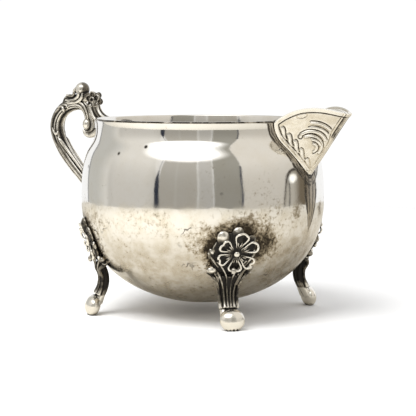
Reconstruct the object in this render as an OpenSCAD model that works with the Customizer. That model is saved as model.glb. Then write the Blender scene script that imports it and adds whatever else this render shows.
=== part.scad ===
// Footed cream jug in silver plate: a round bowl with an applied V-shaped pouring lip,
// a scroll handle built up from castings, and four cast feet, each with an applied flower.
// Millimetres. The jug stands on z = 0 and pours towards +X.

/* [Bowl] */
// Largest outside radius of the bowl
bowl_r = 48; // [44:0.5:52]
// Height of the largest radius above the table
belly_z = 45.5; // [43:0.5:48]
// Height of the bowl's underside above the table
bottom_z = 3.8; // [2.5:0.1:6]
// Outside radius at the neck, the narrow place just under the rim
neck_r = 42; // [38:0.5:43]
// Height of the neck
neck_z = 73; // [71:0.5:74]
// Outside radius of the rim
rim_r = 42.4; // [38.5:0.1:44]
// Height of the rim
rim_z = 76; // [75:0.5:80]
// Thickness of the bowl's sheet
wall = 1; // [0.6:0.1:1.6]

/* [Pouring lip] */
// Distance of the lip's tip from the bowl's axis
tip_reach = 64; // [58:0.5:70]
// Height of the lip's tip
tip_z = 79.4; // [77:0.2:84]
// Height of the point of the V on the bowl
point_z = 55.9; // [50:0.5:62]
// Half of the lip's width where it leaves the rim
lip_half_w = 14.7; // [10:0.5:17]
// Thickness of the lip's sheet
lip_t = 0.9; // [0.6:0.1:1.4]

/* [Handle] */
// Distance of the handle's back from the bowl's axis
handle_reach = 75.2; // [72:0.2:80]
// Height of the handle's widest place
handle_mid_z = 71.5; // [68:0.5:74]
// Thickness of the handle's reeded loop
loop_t = 6.4; // [5:0.1:7]
// Height of the middle of the crest's round scroll
crest_z = 87; // [86:0.5:90]
// Radius of the small flowers on the handle
handle_flower_r = 3.2; // [2.5:0.1:4]

/* [Feet] */
// Turn of the first foot from the lip
foot_turn = 45; // [40:1:50]
// Radius of the flowers on the feet
foot_flower_r = 7.6; // [6:0.2:9]
// Number of petals on every flower
petals = 6; // [5:1:7]

/* [Hidden] */

// The origin is under the middle of the jug's length, so the bowl's axis stands forward of it.
bowl_x = (handle_reach - tip_reach) / 2;
// How far a soldered piece bites into the one it stands on
solder = 0.2;

// ---- curves ----

// Point at t on the cubic curve with the four control points p
function bezier(p, t) =
    pow(1 - t, 3) * p[0] + 3 * pow(1 - t, 2) * t * p[1] + 3 * (1 - t) * t * t * p[2] + pow(t, 3) * p[3];

// The curve p as n + 1 points
function curve(p, n) = [for (i = [0:n]) bezier(p, i / n)];

// The list without its first point, for joining curves end to end
function tail(list) = [for (i = [1:len(list) - 1]) list[i]];

function unit(v) = v / norm(v);

function mix(a, b, t) = a * (1 - t) + b * t;

// Smooth value at u, in steps of one, through a list of stations
function through(s, u) =
    let (n = len(s) - 1, i = min(floor(u), n - 1), t = u - i)
    let (a = s[max(i - 1, 0)], b = s[i], c = s[i + 1], d = s[min(i + 2, n)])
    b + 0.5 * t * ((c - a) + t * ((2 * a - 5 * b + 4 * c - d) + t * (3 * b - a - 3 * c + d)));

// ---- solids from rings ----

// Triangles that join ring i to ring i + 1, for rings of n points
function band(i, n) = [
    for (j = [0:n - 1])
        let (k = (j + 1) % n, a = i * n)
        each [[a + j, a + n + j, a + k], [a + k, a + n + j, a + n + k]]
];

// Closed solid through a list of rings, each with a middle point that closes its end
module skin(rings) {
    n = len(rings[0]);
    last = len(rings) - 1;
    middles = [for (r = [rings[0], rings[last]]) [for (k = [0:2]) sum_of(r, k) / n]];
    points = [for (r = rings) each r];
    start = len(points);
    polyhedron(
        concat(points, middles),
        concat(
            [for (i = [0:last - 1]) each band(i, n)],
            [for (j = [0:n - 1]) [start, j, (j + 1) % n]],
            [for (j = [0:n - 1]) [start + 1, last * n + (j + 1) % n, last * n + j]]
        ),
        convexity = 6
    );
}

// Sum of coordinate k over a list of points
function sum_of(list, k) = [for (p = list) p[k]] * [for (p = list) 1];

// Solid swept along a path of [x, z] points that lies in the jug's middle plane.
// sizes holds stations of [half thickness in the plane, half width across it].
module sweep(path, sizes, n = 20) {
    last = len(path) - 1;
    skin([
        for (i = [0:last])
            let (d = unit(path[min(i + 1, last)] - path[max(i - 1, 0)]))
            let (s = through(sizes, i / last * (len(sizes) - 1)))
            [for (j = [0:n - 1])
                let (a = 360 * j / n)
                [path[i].x - d.y * s.x * cos(a), -s.y * sin(a), path[i].y + d.x * s.x * cos(a)]]
    ]);
}

// ---- the bowl's outline ----

lower_curve = [[0, bottom_z], [18.7, bottom_z], [bowl_r, belly_z - 32], [bowl_r, belly_z]];
upper_curve = [[bowl_r, belly_z], [bowl_r, belly_z + 23], [neck_r, neck_z - 8], [neck_r, neck_z]];
neck_curve = [[neck_r, neck_z], [neck_r, neck_z + 1], [rim_r - 0.2, rim_z - 1], [rim_r, rim_z]];
outline = concat(curve(lower_curve, 28), tail(curve(upper_curve, 18)), tail(curve(neck_curve, 5)));

// Outside radius of the bowl at height z
outline_by_height = [for (p = outline) [p.y, p.x]];
function bowl_at(z) = lookup(z, outline_by_height);

// The outline moved inwards by d along its normals
function inset(d) = [
    for (i = [0:len(outline) - 1])
        let (a = outline[max(i - 1, 0)], b = outline[min(i + 1, len(outline) - 1)])
        let (t = i == 0 ? [1, 0] : unit(b - a))
        [max(outline[i].x - t.y * d, 0), outline[i].y + t.x * d]
];

// Half of the V's outline, from its point up to the rim, as [y, z]
joint_curve = [[0, point_z], [5, point_z + 2.3], [lip_half_w - 2, rim_z - 7.5], [lip_half_w, rim_z]];
joint = curve(joint_curve, 20);

module bowl() {
    inside = inset(wall);
    n = len(outline);
    above = [[lip_half_w, rim_z + 5], [-lip_half_w, rim_z + 5]];
    mirrored = [for (i = [len(joint) - 1:-1:1]) [-joint[i].x, joint[i].y]];
    color("silver")
        translate([bowl_x, 0, 0])
            difference() {
                rotate_extrude($fn = 180)
                    polygon(concat(outline, [for (i = [n - 1:-1:0]) inside[i]]));
                rotate([90, 0, 90])
                    linear_extrude(tip_reach)
                        polygon(concat(joint, above, mirrored));
            }
}

// ---- pouring lip ----

lip_rows = len(joint) - 1;
lip_columns = 14;
// The keel runs straight from the point of the V to the tip.
keel_start = [bowl_at(point_z), 0, point_z];
keel_end = [tip_reach, 0, tip_z];
// Place where joint point i lies on the bowl's outside
function root(i) = [sqrt(pow(bowl_at(joint[i].y), 2) - pow(joint[i].x, 2)), joint[i].x, joint[i].y];
// The free edge of a cheek rises from the rim, then falls to the tip.
edge_curve = [root(lip_rows), [52.4, 12, rim_z + 10.3], [tip_reach - 1, 6.5, tip_z - 1], keel_end];
// Outer face of the left cheek: u runs from the joint to the keel, i counts rows from the V's point
function cheek_at(i, u) =
    let (v = i / lip_rows, chord = mix(root(lip_rows), keel_end, u))
    mix(root(i), mix(keel_start, keel_end, v), u) + pow(v, 1.2) * (bezier(edge_curve, u) - chord);
// Across the sheet from the outer face to the inner one
function cheek_step(i, u) =
    let (du = cheek_at(i, min(u + 0.01, 1)) - cheek_at(i, max(u - 0.01, 0)))
    let (dv = cheek_at(min(i + 0.01, lip_rows), u) - cheek_at(max(i - 0.01, 0), u))
    let (inward = unit(cross(du, dv)) * lip_t)
    let (keel_normal = unit([tip_z - point_z, 0, keel_start.x - tip_reach]))
    let (mitre = -keel_normal * lip_t / max(0.35, -keel_normal * inward / lip_t))
    mix(mix([-wall * 1.1, 0, 0], inward, min(1, 4 * u)), mitre, max(0, 4 * u - 3));

module cheek() {
    m = lip_columns;
    side = lip_rows * (m + 1) + 1;
    faces_out = [for (i = [1:lip_rows]) for (j = [0:m]) cheek_at(i, j / m)];
    faces_in = [for (i = [1:lip_rows]) for (j = [0:m]) cheek_at(i, j / m) + cheek_step(i, j / m)];
    // Index of the point in row i, column j; all of row 0 is one point
    function at(i, j, s) = s * side + (i == 0 ? 0 : 1 + (i - 1) * (m + 1) + j);
    function quad(a, b, c, d) = a == b ? [[a, c, d]] : [[a, b, c], [a, c, d]];
    outer = [
        for (i = [0:lip_rows - 1]) for (j = [0:m - 1])
            each quad(at(i, j, 0), at(i, j + 1, 0), at(i + 1, j + 1, 0), at(i + 1, j, 0))
    ];
    inner = [
        for (i = [0:lip_rows - 1]) for (j = [0:m - 1])
            each quad(at(i, j + 1, 1), at(i, j, 1), at(i + 1, j, 1), at(i + 1, j + 1, 1))
    ];
    ends = [
        for (i = [0:lip_rows - 1])
            each concat(
                quad(at(i, 0, 1), at(i, 0, 0), at(i + 1, 0, 0), at(i + 1, 0, 1)),
                quad(at(i, m, 0), at(i, m, 1), at(i + 1, m, 1), at(i + 1, m, 0))
            )
    ];
    edge = [
        for (j = [0:m - 1])
            each quad(at(lip_rows, j, 0), at(lip_rows, j + 1, 0), at(lip_rows, j + 1, 1), at(lip_rows, j, 1))
    ];
    polyhedron(
        concat([keel_start], faces_out, [keel_start - [wall * 1.1, 0, 0]], faces_in),
        concat(outer, inner, ends, edge),
        convexity = 6
    );
}

module lip_cheek_left() {
    color("gainsboro")
        translate([bowl_x, 0, 0])
            cheek();
}

module lip_cheek_right() {
    color("gainsboro")
        translate([bowl_x, 0, 0])
            mirror([0, 1, 0])
                cheek();
}

// ---- flowers ----

// Flower of radius r and height h on the plane z = 0, its first petal towards +Y
module flower(r, h, n = 72, rings = 6) {
    // Distance of the petals' outline from the middle, in the direction a
    function rim(a) = r * (0.72 + 0.28 * pow(abs(cos((a - 90) * petals / 2)), 0.7));
    // Height of the petal at the share s of that distance: a hollow with a raised rim
    function rise(s) = h * (0.45 + 0.55 * pow(s, 2) - (s > 0.9 ? 0.35 : 0));
    skin(concat(
        [[for (j = [0:n - 1]) 0.9 * rim(360 * j / n) * [cos(360 * j / n), sin(360 * j / n), 0]]],
        [
            for (i = [rings:-1:1])
                let (s = i / rings)
                [for (j = [0:n - 1])
                    let (a = 360 * j / n)
                    [s * rim(a) * cos(a), s * rim(a) * sin(a), rise(s)]]
        ]
    ));
}

// The round bead in a flower's middle
module flower_eye(r, h) {
    translate([0, 0, h])
        sphere(r = r, $fn = 24);
}

// ---- handle ----

loop_half = loop_t / 2;
back_x = -(handle_reach - loop_half);
arch_z = 81.4;
loop_path = concat(
    curve([[-46.8, 39.6], [-54.4, 48], [back_x, handle_mid_z - 10], [back_x, handle_mid_z]], 26),
    tail(curve([[back_x, handle_mid_z], [back_x, handle_mid_z + 6], [-66.5, arch_z], [-61, arch_z]], 12)),
    tail(curve([[-61, arch_z], [-58, arch_z], [-55.6, 78.5], [-56.2, 74.5]], 10))
);
loop_sizes = [
    [2.2, 2.4], [2.5, 2.7], [3, 3], [loop_half, 3.2], [2.7, 2.9], [2.2, 2.5], [1.2, 1.6]
];

module handle_loop() {
    color("darkgray")
        translate([bowl_x, 0, 0])
            difference() {
                sweep(loop_path, loop_sizes);
                rotate_extrude($fn = 180)
                    polygon(concat(inset(solder), [[0, rim_z]]));
            }
}

module handle_arm() {
    arm_path = curve([[-54.6, 83.5], [-52.5, 79], [-49.5, 75.2], [-42.4, 73.8]], 14);
    arm_sizes = [[1.2, 1.6], [1.8, 2], [2, 2.4], [2.2, 3.2]];
    color("darkgray")
        translate([bowl_x, 0, 0])
            sweep(arm_path, arm_sizes);
}

module handle_crest() {
    // The leaf lies along the loop's back; its tip stands up and rolls over a small round eye.
    leaf_path = curve([[-71.4, 79.5], [-69.5, 84], [-64, 85.6], [-57.5, 83.4]], 16);
    leaf_sizes = [[0.6, 1.2], [1.6, 2.4], [1.7, 2.6], [1.8, 2.4], [0.8, 1.6]];
    tip_path = curve([[-59.4, 82.8], [-57.6, 85], [-57.6, crest_z + 1], [-59.6, crest_z + 3.4]], 12);
    tip_sizes = [[1.6, 2], [2.4, 2.8], [2.8, 2.8], [2.5, 2.6], [0.8, 1.2]];
    color("darkgray")
        translate([bowl_x, 0, 0])
            union() {
                sweep(leaf_path, leaf_sizes);
                sweep(tip_path, tip_sizes);
                translate([-61.6, 0, crest_z])
                    rotate([90, 0, 0])
                        cylinder(r = 1.5, h = 4.6, center = true, $fn = 24);
            }
}

module handle_volute() {
    tongue_path = curve([[-57.6, 71.6], [-56.6, 68.4], [-52, 67.6], [-43.2, 70.6]], 14);
    tongue_sizes = [[1.2, 1.2], [1.6, 1.7], [1.5, 1.7], [1.2, 2.2]];
    color("darkgray")
        translate([bowl_x, 0, 0])
            union() {
                sweep(tongue_path, tongue_sizes, 16);
                translate([-57.2, 0, 73])
                    sphere(r = 2.2, $fn = 32);
            }
}

// side is 1 for the left of the handle and -1 for the right
module handle_flower(side) {
    color("gray")
        translate([bowl_x - 51.6, side * 1.6, 83.5])
            rotate([-side * 90, 0, 0])
                union() {
                    flower(handle_flower_r, 2, 48, 5);
                    flower_eye(0.9, 1.4);
                }
}

module handle_flower_left() {
    handle_flower(1);
}

module handle_flower_right() {
    handle_flower(-1);
}

// ---- feet ----

// Stations up a foot: [height, half width, outside distance from the axis, inside distance].
// Above the seat the inside follows the bowl.
foot_stations = [
    [0, 1.8, 46, 44.2],
    [0.5, 2.8, 46.7, 43.5],
    [3, 4.6, 47.4, 42.1],
    [6, 4.3, 46.2, 40.5],
    [8.2, 3.6, 43.8, 39.1],
    [11, 3.6, 42.4, 38],
    [14.5, 4, 42.3, 37.3],
    [17.5, 5.6, 43, 36.5],
    [20.5, 8.8, 44.6, 39],
    [23.5, 9.4, 46.2, 41],
    [27, 9, 47.2, 43],
    [31, 8.6, 48, 45],
    [35, 7.6, 48.2, 46],
    [38.6, 3, 47.6, 47]
];
seat_z = 16;

// Ring of n points around the foot at station u; x runs out from the axis
function foot_ring(u, n) =
    let (s = through(foot_stations, u))
    [for (j = [0:n - 1])
        let (a = 360 * j / n, w = -s[1] * cos(a))
        let (on_bowl = sqrt(pow(bowl_at(s[0]), 2) - w * w) - solder)
        let (back = s[0] > seat_z ? max(s[3], on_bowl) : s[3])
        let (middle = s[0] > seat_z ? on_bowl + 0.6 : (s[2] + s[3]) / 2)
        let (depth = sin(a) > 0 ? max(s[2] - middle, 0.3) : middle - back)
        [middle + depth * sin(a), w, s[0]]];

module foot_casting() {
    steps = 3;
    skin([for (i = [0:(len(foot_stations) - 1) * steps]) foot_ring(i / steps, 28)]);
}

// Places one foot's piece; side is 1 for left, -1 for right, and front is 1 towards the lip
module at_foot(side, front) {
    translate([bowl_x, 0, 0])
        rotate([0, 0, side * (front > 0 ? foot_turn : 180 - foot_turn)])
            children();
}

module foot(side, front) {
    color("darkgray")
        at_foot(side, front)
            foot_casting();
}

// The flower leans back with the bowl's wall and was set a little off the foot's middle.
module foot_flower(side, front) {
    color("gray")
        at_foot(side, front)
            translate([45.7, 1.5, 29.2])
                rotate([0, 110, 0])
                    rotate([0, 0, 78])
                        union() {
                            flower(foot_flower_r, 2.3);
                            flower_eye(1.5, 1.9);
                        }
}

module foot_front_left() {
    foot(1, 1);
}

module foot_front_right() {
    foot(-1, 1);
}

module foot_rear_left() {
    foot(1, -1);
}

module foot_rear_right() {
    foot(-1, -1);
}

module flower_front_left() {
    foot_flower(1, 1);
}

module flower_front_right() {
    foot_flower(-1, 1);
}

module flower_rear_left() {
    foot_flower(1, -1);
}

module flower_rear_right() {
    foot_flower(-1, -1);
}

bowl();
lip_cheek_left();
lip_cheek_right();
handle_loop();
handle_arm();
handle_crest();
handle_volute();
handle_flower_left();
handle_flower_right();
foot_front_left();
foot_front_right();
foot_rear_left();
foot_rear_right();
flower_front_left();
flower_front_right();
flower_rear_left();
flower_rear_right();
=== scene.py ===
"""Looks of a footed cream jug in old silver plate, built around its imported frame.

The bowl is spun from its outline and cut for the lip. The two cheeks of the lip are pressed
sheets with their scrolls raised in the metal. The handle and the feet are castings: rods and
drops of metal laid together, then fused into one skin. Every piece is shaped in millimetres
about the bowl's axis, then brought into the frame in metres.
"""

import logging
import math
from contextlib import contextmanager
from dataclasses import dataclass, field
from enum import Enum
from typing import Callable, Iterator, Sequence

import bpy
import numpy as np
from mathutils import Matrix, Vector


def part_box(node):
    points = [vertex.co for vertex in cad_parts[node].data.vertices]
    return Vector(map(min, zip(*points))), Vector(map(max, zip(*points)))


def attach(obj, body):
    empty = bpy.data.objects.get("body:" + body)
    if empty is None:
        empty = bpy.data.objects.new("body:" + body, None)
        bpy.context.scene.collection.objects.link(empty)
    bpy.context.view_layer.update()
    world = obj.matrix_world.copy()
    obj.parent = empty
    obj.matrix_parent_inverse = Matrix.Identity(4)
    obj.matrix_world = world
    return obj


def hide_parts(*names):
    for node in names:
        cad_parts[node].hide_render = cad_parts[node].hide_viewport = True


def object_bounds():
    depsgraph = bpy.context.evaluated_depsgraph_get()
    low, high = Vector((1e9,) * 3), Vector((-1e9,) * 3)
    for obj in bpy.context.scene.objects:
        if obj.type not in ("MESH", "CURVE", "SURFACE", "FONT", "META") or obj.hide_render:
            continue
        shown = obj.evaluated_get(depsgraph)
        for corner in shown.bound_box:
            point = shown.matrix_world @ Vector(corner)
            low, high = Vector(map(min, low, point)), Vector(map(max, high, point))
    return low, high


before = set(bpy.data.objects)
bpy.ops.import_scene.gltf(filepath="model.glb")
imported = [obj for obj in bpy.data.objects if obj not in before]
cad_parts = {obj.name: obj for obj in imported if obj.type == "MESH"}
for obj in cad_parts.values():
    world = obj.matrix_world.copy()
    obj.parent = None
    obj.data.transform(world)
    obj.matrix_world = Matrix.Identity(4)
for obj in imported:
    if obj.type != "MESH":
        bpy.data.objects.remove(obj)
cad_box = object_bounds()

log = logging.getLogger("cream_jug")

MM = 0.001
SMOOTH_ANGLE = math.radians(45)
# How black the inner face of the lip, and the inside of the bowl, are
INNER_LIP_DARKENING = 0.45
INNER_STAIN = -0.5
Point = tuple[float, float, float]
Flat = tuple[float, float]
Colour = tuple[float, float, float, float]
Bend = Callable[[np.ndarray, np.ndarray], np.ndarray]
Piece = bpy.types.Object
Socket = bpy.types.NodeSocket


# ---------------------------------------------------------------- workbench


def pick(*pieces: Piece) -> None:
    """Select only these pieces and make the first one active.

    Args:
        pieces: the objects to work on.
    """
    bpy.ops.object.select_all(action="DESELECT")
    for piece in pieces:
        piece.select_set(True)
    bpy.context.view_layer.objects.active = pieces[0]


@contextmanager
def editing(piece: Piece) -> Iterator[None]:
    """Edit mode on one piece with everything in it selected.

    Args:
        piece: the mesh object to edit.

    Returns:
        A context that leaves edit mode at its end.
    """
    pick(piece)
    bpy.ops.object.mode_set(mode="EDIT")
    bpy.ops.mesh.select_all(action="SELECT")
    yield
    bpy.ops.object.mode_set(mode="OBJECT")


def clean(piece: Piece, reach: float = 1e-4) -> Piece:
    """Merge doubled vertices, drop degenerate faces and turn every face outwards.

    Args:
        piece: a closed mesh.
        reach: how near two vertices are to count as one, in the mesh's units.

    Returns:
        The same piece.
    """
    with editing(piece):
        bpy.ops.mesh.remove_doubles(threshold=reach)
        bpy.ops.mesh.dissolve_degenerate(threshold=reach)
        bpy.ops.mesh.select_all(action="SELECT")
        bpy.ops.mesh.normals_make_consistent(inside=False)
    return piece


def apply_modifier(piece: Piece, kind: str, **settings: object) -> None:
    """Add a modifier with these settings and apply it.

    Args:
        piece: the mesh object.
        kind: the modifier's type.
        settings: the modifier's own values.
    """
    pick(piece)
    modifier = piece.modifiers.new(kind.lower(), kind)
    for key, value in settings.items():
        setattr(modifier, key, value)
    bpy.ops.object.modifier_apply(modifier=modifier.name)


def places(piece: Piece) -> np.ndarray:
    """The piece's vertices.

    Args:
        piece: the mesh object.

    Returns:
        One row of x, y and z for each vertex.
    """
    flat = np.empty(len(piece.data.vertices) * 3)
    piece.data.vertices.foreach_get("co", flat)
    return flat.reshape(-1, 3)


def put(piece: Piece, spots: np.ndarray) -> None:
    """Move the piece's vertices to these rows."""
    piece.data.vertices.foreach_set("co", spots.ravel())
    piece.data.update()


def add_values(piece: Piece, name: str, values: np.ndarray) -> None:
    """Store one number for each vertex under a name that a material can read."""
    layer = piece.data.attributes.new(name, "FLOAT", "POINT")
    layer.data.foreach_set("value", values.astype(np.float32))


def bent_sheet(place: Bend, rows: int, columns: int) -> Piece:
    """A grid bent to a surface.

    Args:
        place: gives the points of the surface for arrays of u and v, each from 0 to 1.
        rows: faces along v.
        columns: faces along u.

    Returns:
        The sheet, open at its edges.
    """
    bpy.ops.object.select_all(action="DESELECT")
    bpy.ops.mesh.primitive_grid_add(x_subdivisions=columns, y_subdivisions=rows, size=2)
    sheet = bpy.context.object
    start = places(sheet)
    put(sheet, place((start[:, 0] + 1) / 2, (start[:, 1] + 1) / 2))
    return sheet


def rod(points: Sequence[Point], radii: Sequence[float], closed: bool = False) -> Piece:
    """A bent round rod that runs smoothly through its points.

    Args:
        points: places along the rod.
        radii: the rod's radius at each place.
        closed: joins the last point to the first.

    Returns:
        The rod as a mesh.
    """
    bpy.ops.object.select_all(action="DESELECT")
    bpy.ops.curve.primitive_bezier_curve_add(radius=1, location=(0, 0, 0))
    wire = bpy.context.object
    wire.data.dimensions = "3D"
    wire.data.bevel_depth = 1
    wire.data.bevel_resolution = 4
    wire.data.resolution_u = 8
    wire.data.use_fill_caps = True
    spline = wire.data.splines[0]
    spline.bezier_points.add(len(points) - 2)
    spline.use_cyclic_u = closed
    for knot, point, radius in zip(spline.bezier_points, points, radii):
        knot.co = point
        knot.radius = radius
        knot.handle_left_type = "AUTO"
        knot.handle_right_type = "AUTO"
    bpy.ops.object.convert(target="MESH")
    return clean(bpy.context.object)


def drop(centre: Point, radii: Point, lean: float = 0, turn: float = 0) -> Piece:
    """An ellipsoid of metal.

    Args:
        centre: its middle.
        radii: half its size along x, y and z before it is turned.
        lean: degrees about y, tipping its top outwards.
        turn: degrees about x, tipping its top sideways.

    Returns:
        The drop as a mesh.
    """
    bpy.ops.object.select_all(action="DESELECT")
    bpy.ops.mesh.primitive_uv_sphere_add(segments=32, ring_count=16, radius=1, location=(0, 0, 0))
    blob = bpy.context.object
    blob.scale = radii
    bpy.ops.object.transform_apply(location=False, rotation=False, scale=True)
    blob.rotation_euler = (math.radians(turn), math.radians(lean), 0)
    blob.location = centre
    bpy.ops.object.transform_apply(location=True, rotation=True, scale=False)
    return blob


def fuse(parts: Sequence[Piece], grain: float, softening: int) -> Piece:
    """Melt overlapping parts into one skin.

    Args:
        parts: closed meshes that overlap.
        grain: the size of the new skin's faces.
        softening: how many times the skin is smoothed.

    Returns:
        The fused piece.
    """
    pick(*parts)
    if len(parts) > 1:
        bpy.ops.object.join()
    casting = bpy.context.object
    apply_modifier(casting, "REMESH", mode="VOXEL", voxel_size=grain, adaptivity=0)
    apply_modifier(casting, "SMOOTH", factor=0.5, iterations=softening)
    return casting


def softened(piece: Piece, rounds: int) -> tuple[np.ndarray, np.ndarray]:
    """Vertex places, and where they would be on a smoothed copy of the piece.

    Args:
        piece: the mesh object.
        rounds: how often each vertex moves halfway to the middle of its neighbours.

    Returns:
        The places as they are, and the smoothed ones.
    """
    spots = places(piece)
    count = len(spots)
    ends = np.empty(len(piece.data.edges) * 2, dtype=np.int64)
    piece.data.edges.foreach_get("vertices", ends)
    first, second = ends.reshape(-1, 2).T
    share = np.maximum(np.bincount(ends, minlength=count), 1)
    smooth = spots.copy()
    for _ in range(rounds):
        for k in range(3):
            total = np.bincount(first, smooth[second, k], count)
            total += np.bincount(second, smooth[first, k], count)
            smooth[:, k] += 0.5 * (total / share - smooth[:, k])
    return spots, smooth


def mark_hollows(piece: Piece) -> None:
    """Store how far each vertex lies below its surroundings, where black oxide gathers.

    The value "hollow" is about 0 on flat metal, rises to 1 in narrow grooves and goes to -1
    on sharp high places. The value "depth" does the same for wide hollows.

    Args:
        piece: the casting or pressed sheet, in millimetres.
    """
    for name, rounds, full in (("hollow", 12, 0.10), ("depth", 120, 0.5)):
        spots, smooth = softened(piece, rounds)
        normals = np.empty(len(spots) * 3)
        piece.data.vertices.foreach_get("normal", normals)
        lift = ((smooth - spots) * normals.reshape(-1, 3)).sum(axis=1)
        add_values(piece, name, np.clip(lift / full, -1, 1))


def bezier(points: Sequence[Sequence[float]], t: np.ndarray) -> np.ndarray:
    """Points of a cubic Bezier curve.

    Args:
        points: its four control points.
        t: the shares of the way along it.

    Returns:
        One row for each t.
    """
    p = np.asarray(points, dtype=float)
    t = np.asarray(t, dtype=float)[..., None]
    return (1 - t) ** 3 * p[0] + 3 * (1 - t) ** 2 * t * p[1] + 3 * (1 - t) * t * t * p[2] + t ** 3 * p[3]


def ridge(distance: np.ndarray, half: float) -> np.ndarray:
    """A soft raised line: 1 on its middle and 0 beyond its half width."""
    return np.clip(1 - (distance / half) ** 2, 0, 1) ** 1.5


def line_distance(points: Sequence[Flat], along: np.ndarray, across: np.ndarray) -> np.ndarray:
    """How far places are from a smooth line.

    Args:
        points: what the line runs through.
        along: the places' first coordinate.
        across: the places' second coordinate.

    Returns:
        The distances.
    """
    p = np.asarray(points, dtype=float)
    ends = np.vstack([2 * p[0] - p[1], p, 2 * p[-1] - p[-2]])
    t = np.linspace(0, 1, 8, endpoint=False)[:, None]
    runs = []
    for a, b, c, d in zip(ends[:-3], ends[1:-2], ends[2:-1], ends[3:]):
        runs.append(b + 0.5 * t * (c - a + t * (2 * a - 5 * b + 4 * c - d + t * (3 * (b - c) + d - a))))
    line = np.vstack(runs + [p[-1:]])
    return np.hypot(along[:, None] - line[:, 0], across[:, None] - line[:, 1]).min(axis=1)


def step(value: np.ndarray, low: float, high: float) -> np.ndarray:
    """A smooth change from 0 below low to 1 above high."""
    t = np.clip((value - low) / (high - low), 0, 1)
    return t * t * (3 - 2 * t)


# ---------------------------------------------------------------- materials


class Shader:
    """Short ways to build a node tree."""

    def __init__(self, tree: bpy.types.NodeTree) -> None:
        """Start on an empty tree."""
        self.tree = tree

    def node(self, kind: str, settings: dict[str, object] | None = None, **inputs: object) -> bpy.types.Node:
        """Add a node.

        Args:
            kind: the node's type.
            settings: the node's own properties.
            inputs: a value or an output for each input, spaces written as underscores.

        Returns:
            The node.
        """
        new = self.tree.nodes.new(kind)
        for key, value in (settings or {}).items():
            setattr(new, key, value)
        for key, value in inputs.items():
            self.feed(new.inputs[key.replace("_", " ")], value)
        return new

    def feed(self, socket: Socket, value: object) -> None:
        """Set a socket to a value or link an output to it.

        Args:
            socket: the input.
            value: a value or an output.
        """
        if isinstance(value, Socket):
            self.tree.links.new(value, socket)
        else:
            socket.default_value = value

    def math(self, operation: str, *values: object, clamp: bool = False) -> Socket:
        """A Math node's result.

        Args:
            operation: the Math node's operation.
            values: its numbers or links, in order.
            clamp: keeps the result between 0 and 1.

        Returns:
            The output socket.
        """
        new = self.tree.nodes.new("ShaderNodeMath")
        new.operation = operation
        new.use_clamp = clamp
        for socket, value in zip(new.inputs, values):
            self.feed(socket, value)
        return new.outputs[0]

    def times(self, first: object, second: object) -> Socket:
        """The product."""
        return self.math("MULTIPLY", first, second)

    def plus(self, first: object, second: object) -> Socket:
        """The sum."""
        return self.math("ADD", first, second)

    def minus(self, first: object, second: object) -> Socket:
        """The difference."""
        return self.math("SUBTRACT", first, second)

    def scaled(self, value: object, factor: object, start: object) -> Socket:
        """The value times a factor, added to a start."""
        return self.math("MULTIPLY_ADD", value, factor, start)

    def most(self, first: object, second: object) -> Socket:
        """The larger of two."""
        return self.math("MAXIMUM", first, second)

    def away(self, value: object, middle: object) -> Socket:
        """How far a value is from a middle one."""
        return self.math("ABSOLUTE", self.minus(value, middle))

    def fading(self, value: object, low: float, high: float) -> Socket:
        """A smooth change from 1 at low to 0 at high."""
        return self.minus(1.0, self.band(value, low, high))

    def band(self, value: object, low: float, high: float) -> Socket:
        """A smooth change from 0 at low to 1 at high.

        Args:
            value: a number or link.
            low: where the change starts.
            high: where it ends.

        Returns:
            The output socket.
        """
        new = self.node("ShaderNodeMapRange", {"interpolation_type": "SMOOTHSTEP", "clamp": True})
        for key, item in (("Value", value), ("From Min", low), ("From Max", high)):
            self.feed(new.inputs[key], item)
        return new.outputs["Result"]

    def mix(self, share: object, first: object, second: object) -> Socket:
        """Two colours mixed.

        Args:
            share: 0 for the first colour, 1 for the second.
            first: a colour or link.
            second: a colour or link.

        Returns:
            The output socket.
        """
        new = self.node("ShaderNodeMix", {"data_type": "RGBA"})
        self.feed(new.inputs[0], share)
        self.feed(new.inputs[6], first)
        self.feed(new.inputs[7], second)
        return new.outputs[2]

    def value(self, name: str) -> Socket:
        """The number stored for each vertex under a name."""
        return self.node("ShaderNodeAttribute", {"attribute_name": name}).outputs["Fac"]

    def noise(self, spot: object, scale: float, detail: float = 4, rough: float = 0.55) -> Socket:
        """Noise from 0 to 1.

        Args:
            spot: the place to read it at.
            scale: cells to a metre.
            detail: how many finer layers it has.
            rough: how strong the finer layers are.

        Returns:
            The output socket.
        """
        new = self.node("ShaderNodeTexNoise", Vector=spot, Scale=scale, Detail=detail, Roughness=rough)
        return new.outputs["Fac"]


def rgb(red: float, green: float, blue: float) -> Colour:
    """A colour with full alpha."""
    return (red, green, blue, 1.0)


PALE = rgb(0.97, 0.97, 0.97)
WHITE = rgb(1, 1, 1)


def new_group(name: str, inputs: Sequence[str], outputs: Sequence[str]) -> tuple[bpy.types.NodeTree, Shader]:
    """A shader node group with the input Position, these inputs and these outputs.

    Args:
        name: the group's name.
        inputs: names of the number inputs after Position.
        outputs: names of the number outputs.

    Returns:
        The group, and a Shader that builds inside it.
    """
    group = bpy.data.node_groups.new(name, "ShaderNodeTree")
    group.interface.new_socket("Position", in_out="INPUT", socket_type="NodeSocketVector")
    for way, names in (("INPUT", inputs), ("OUTPUT", outputs)):
        for socket in names:
            group.interface.new_socket(socket, in_out=way, socket_type="NodeSocketFloat")
    return group, Shader(group)


def put_out(shade: Shader, results: dict[str, Socket]) -> None:
    """Link a group's results to its outputs.

    Args:
        shade: the Shader that builds inside the group.
        results: what each output carries.
    """
    end = shade.node("NodeGroupOutput")
    for key, value in results.items():
        shade.feed(end.inputs[key], value)


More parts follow.
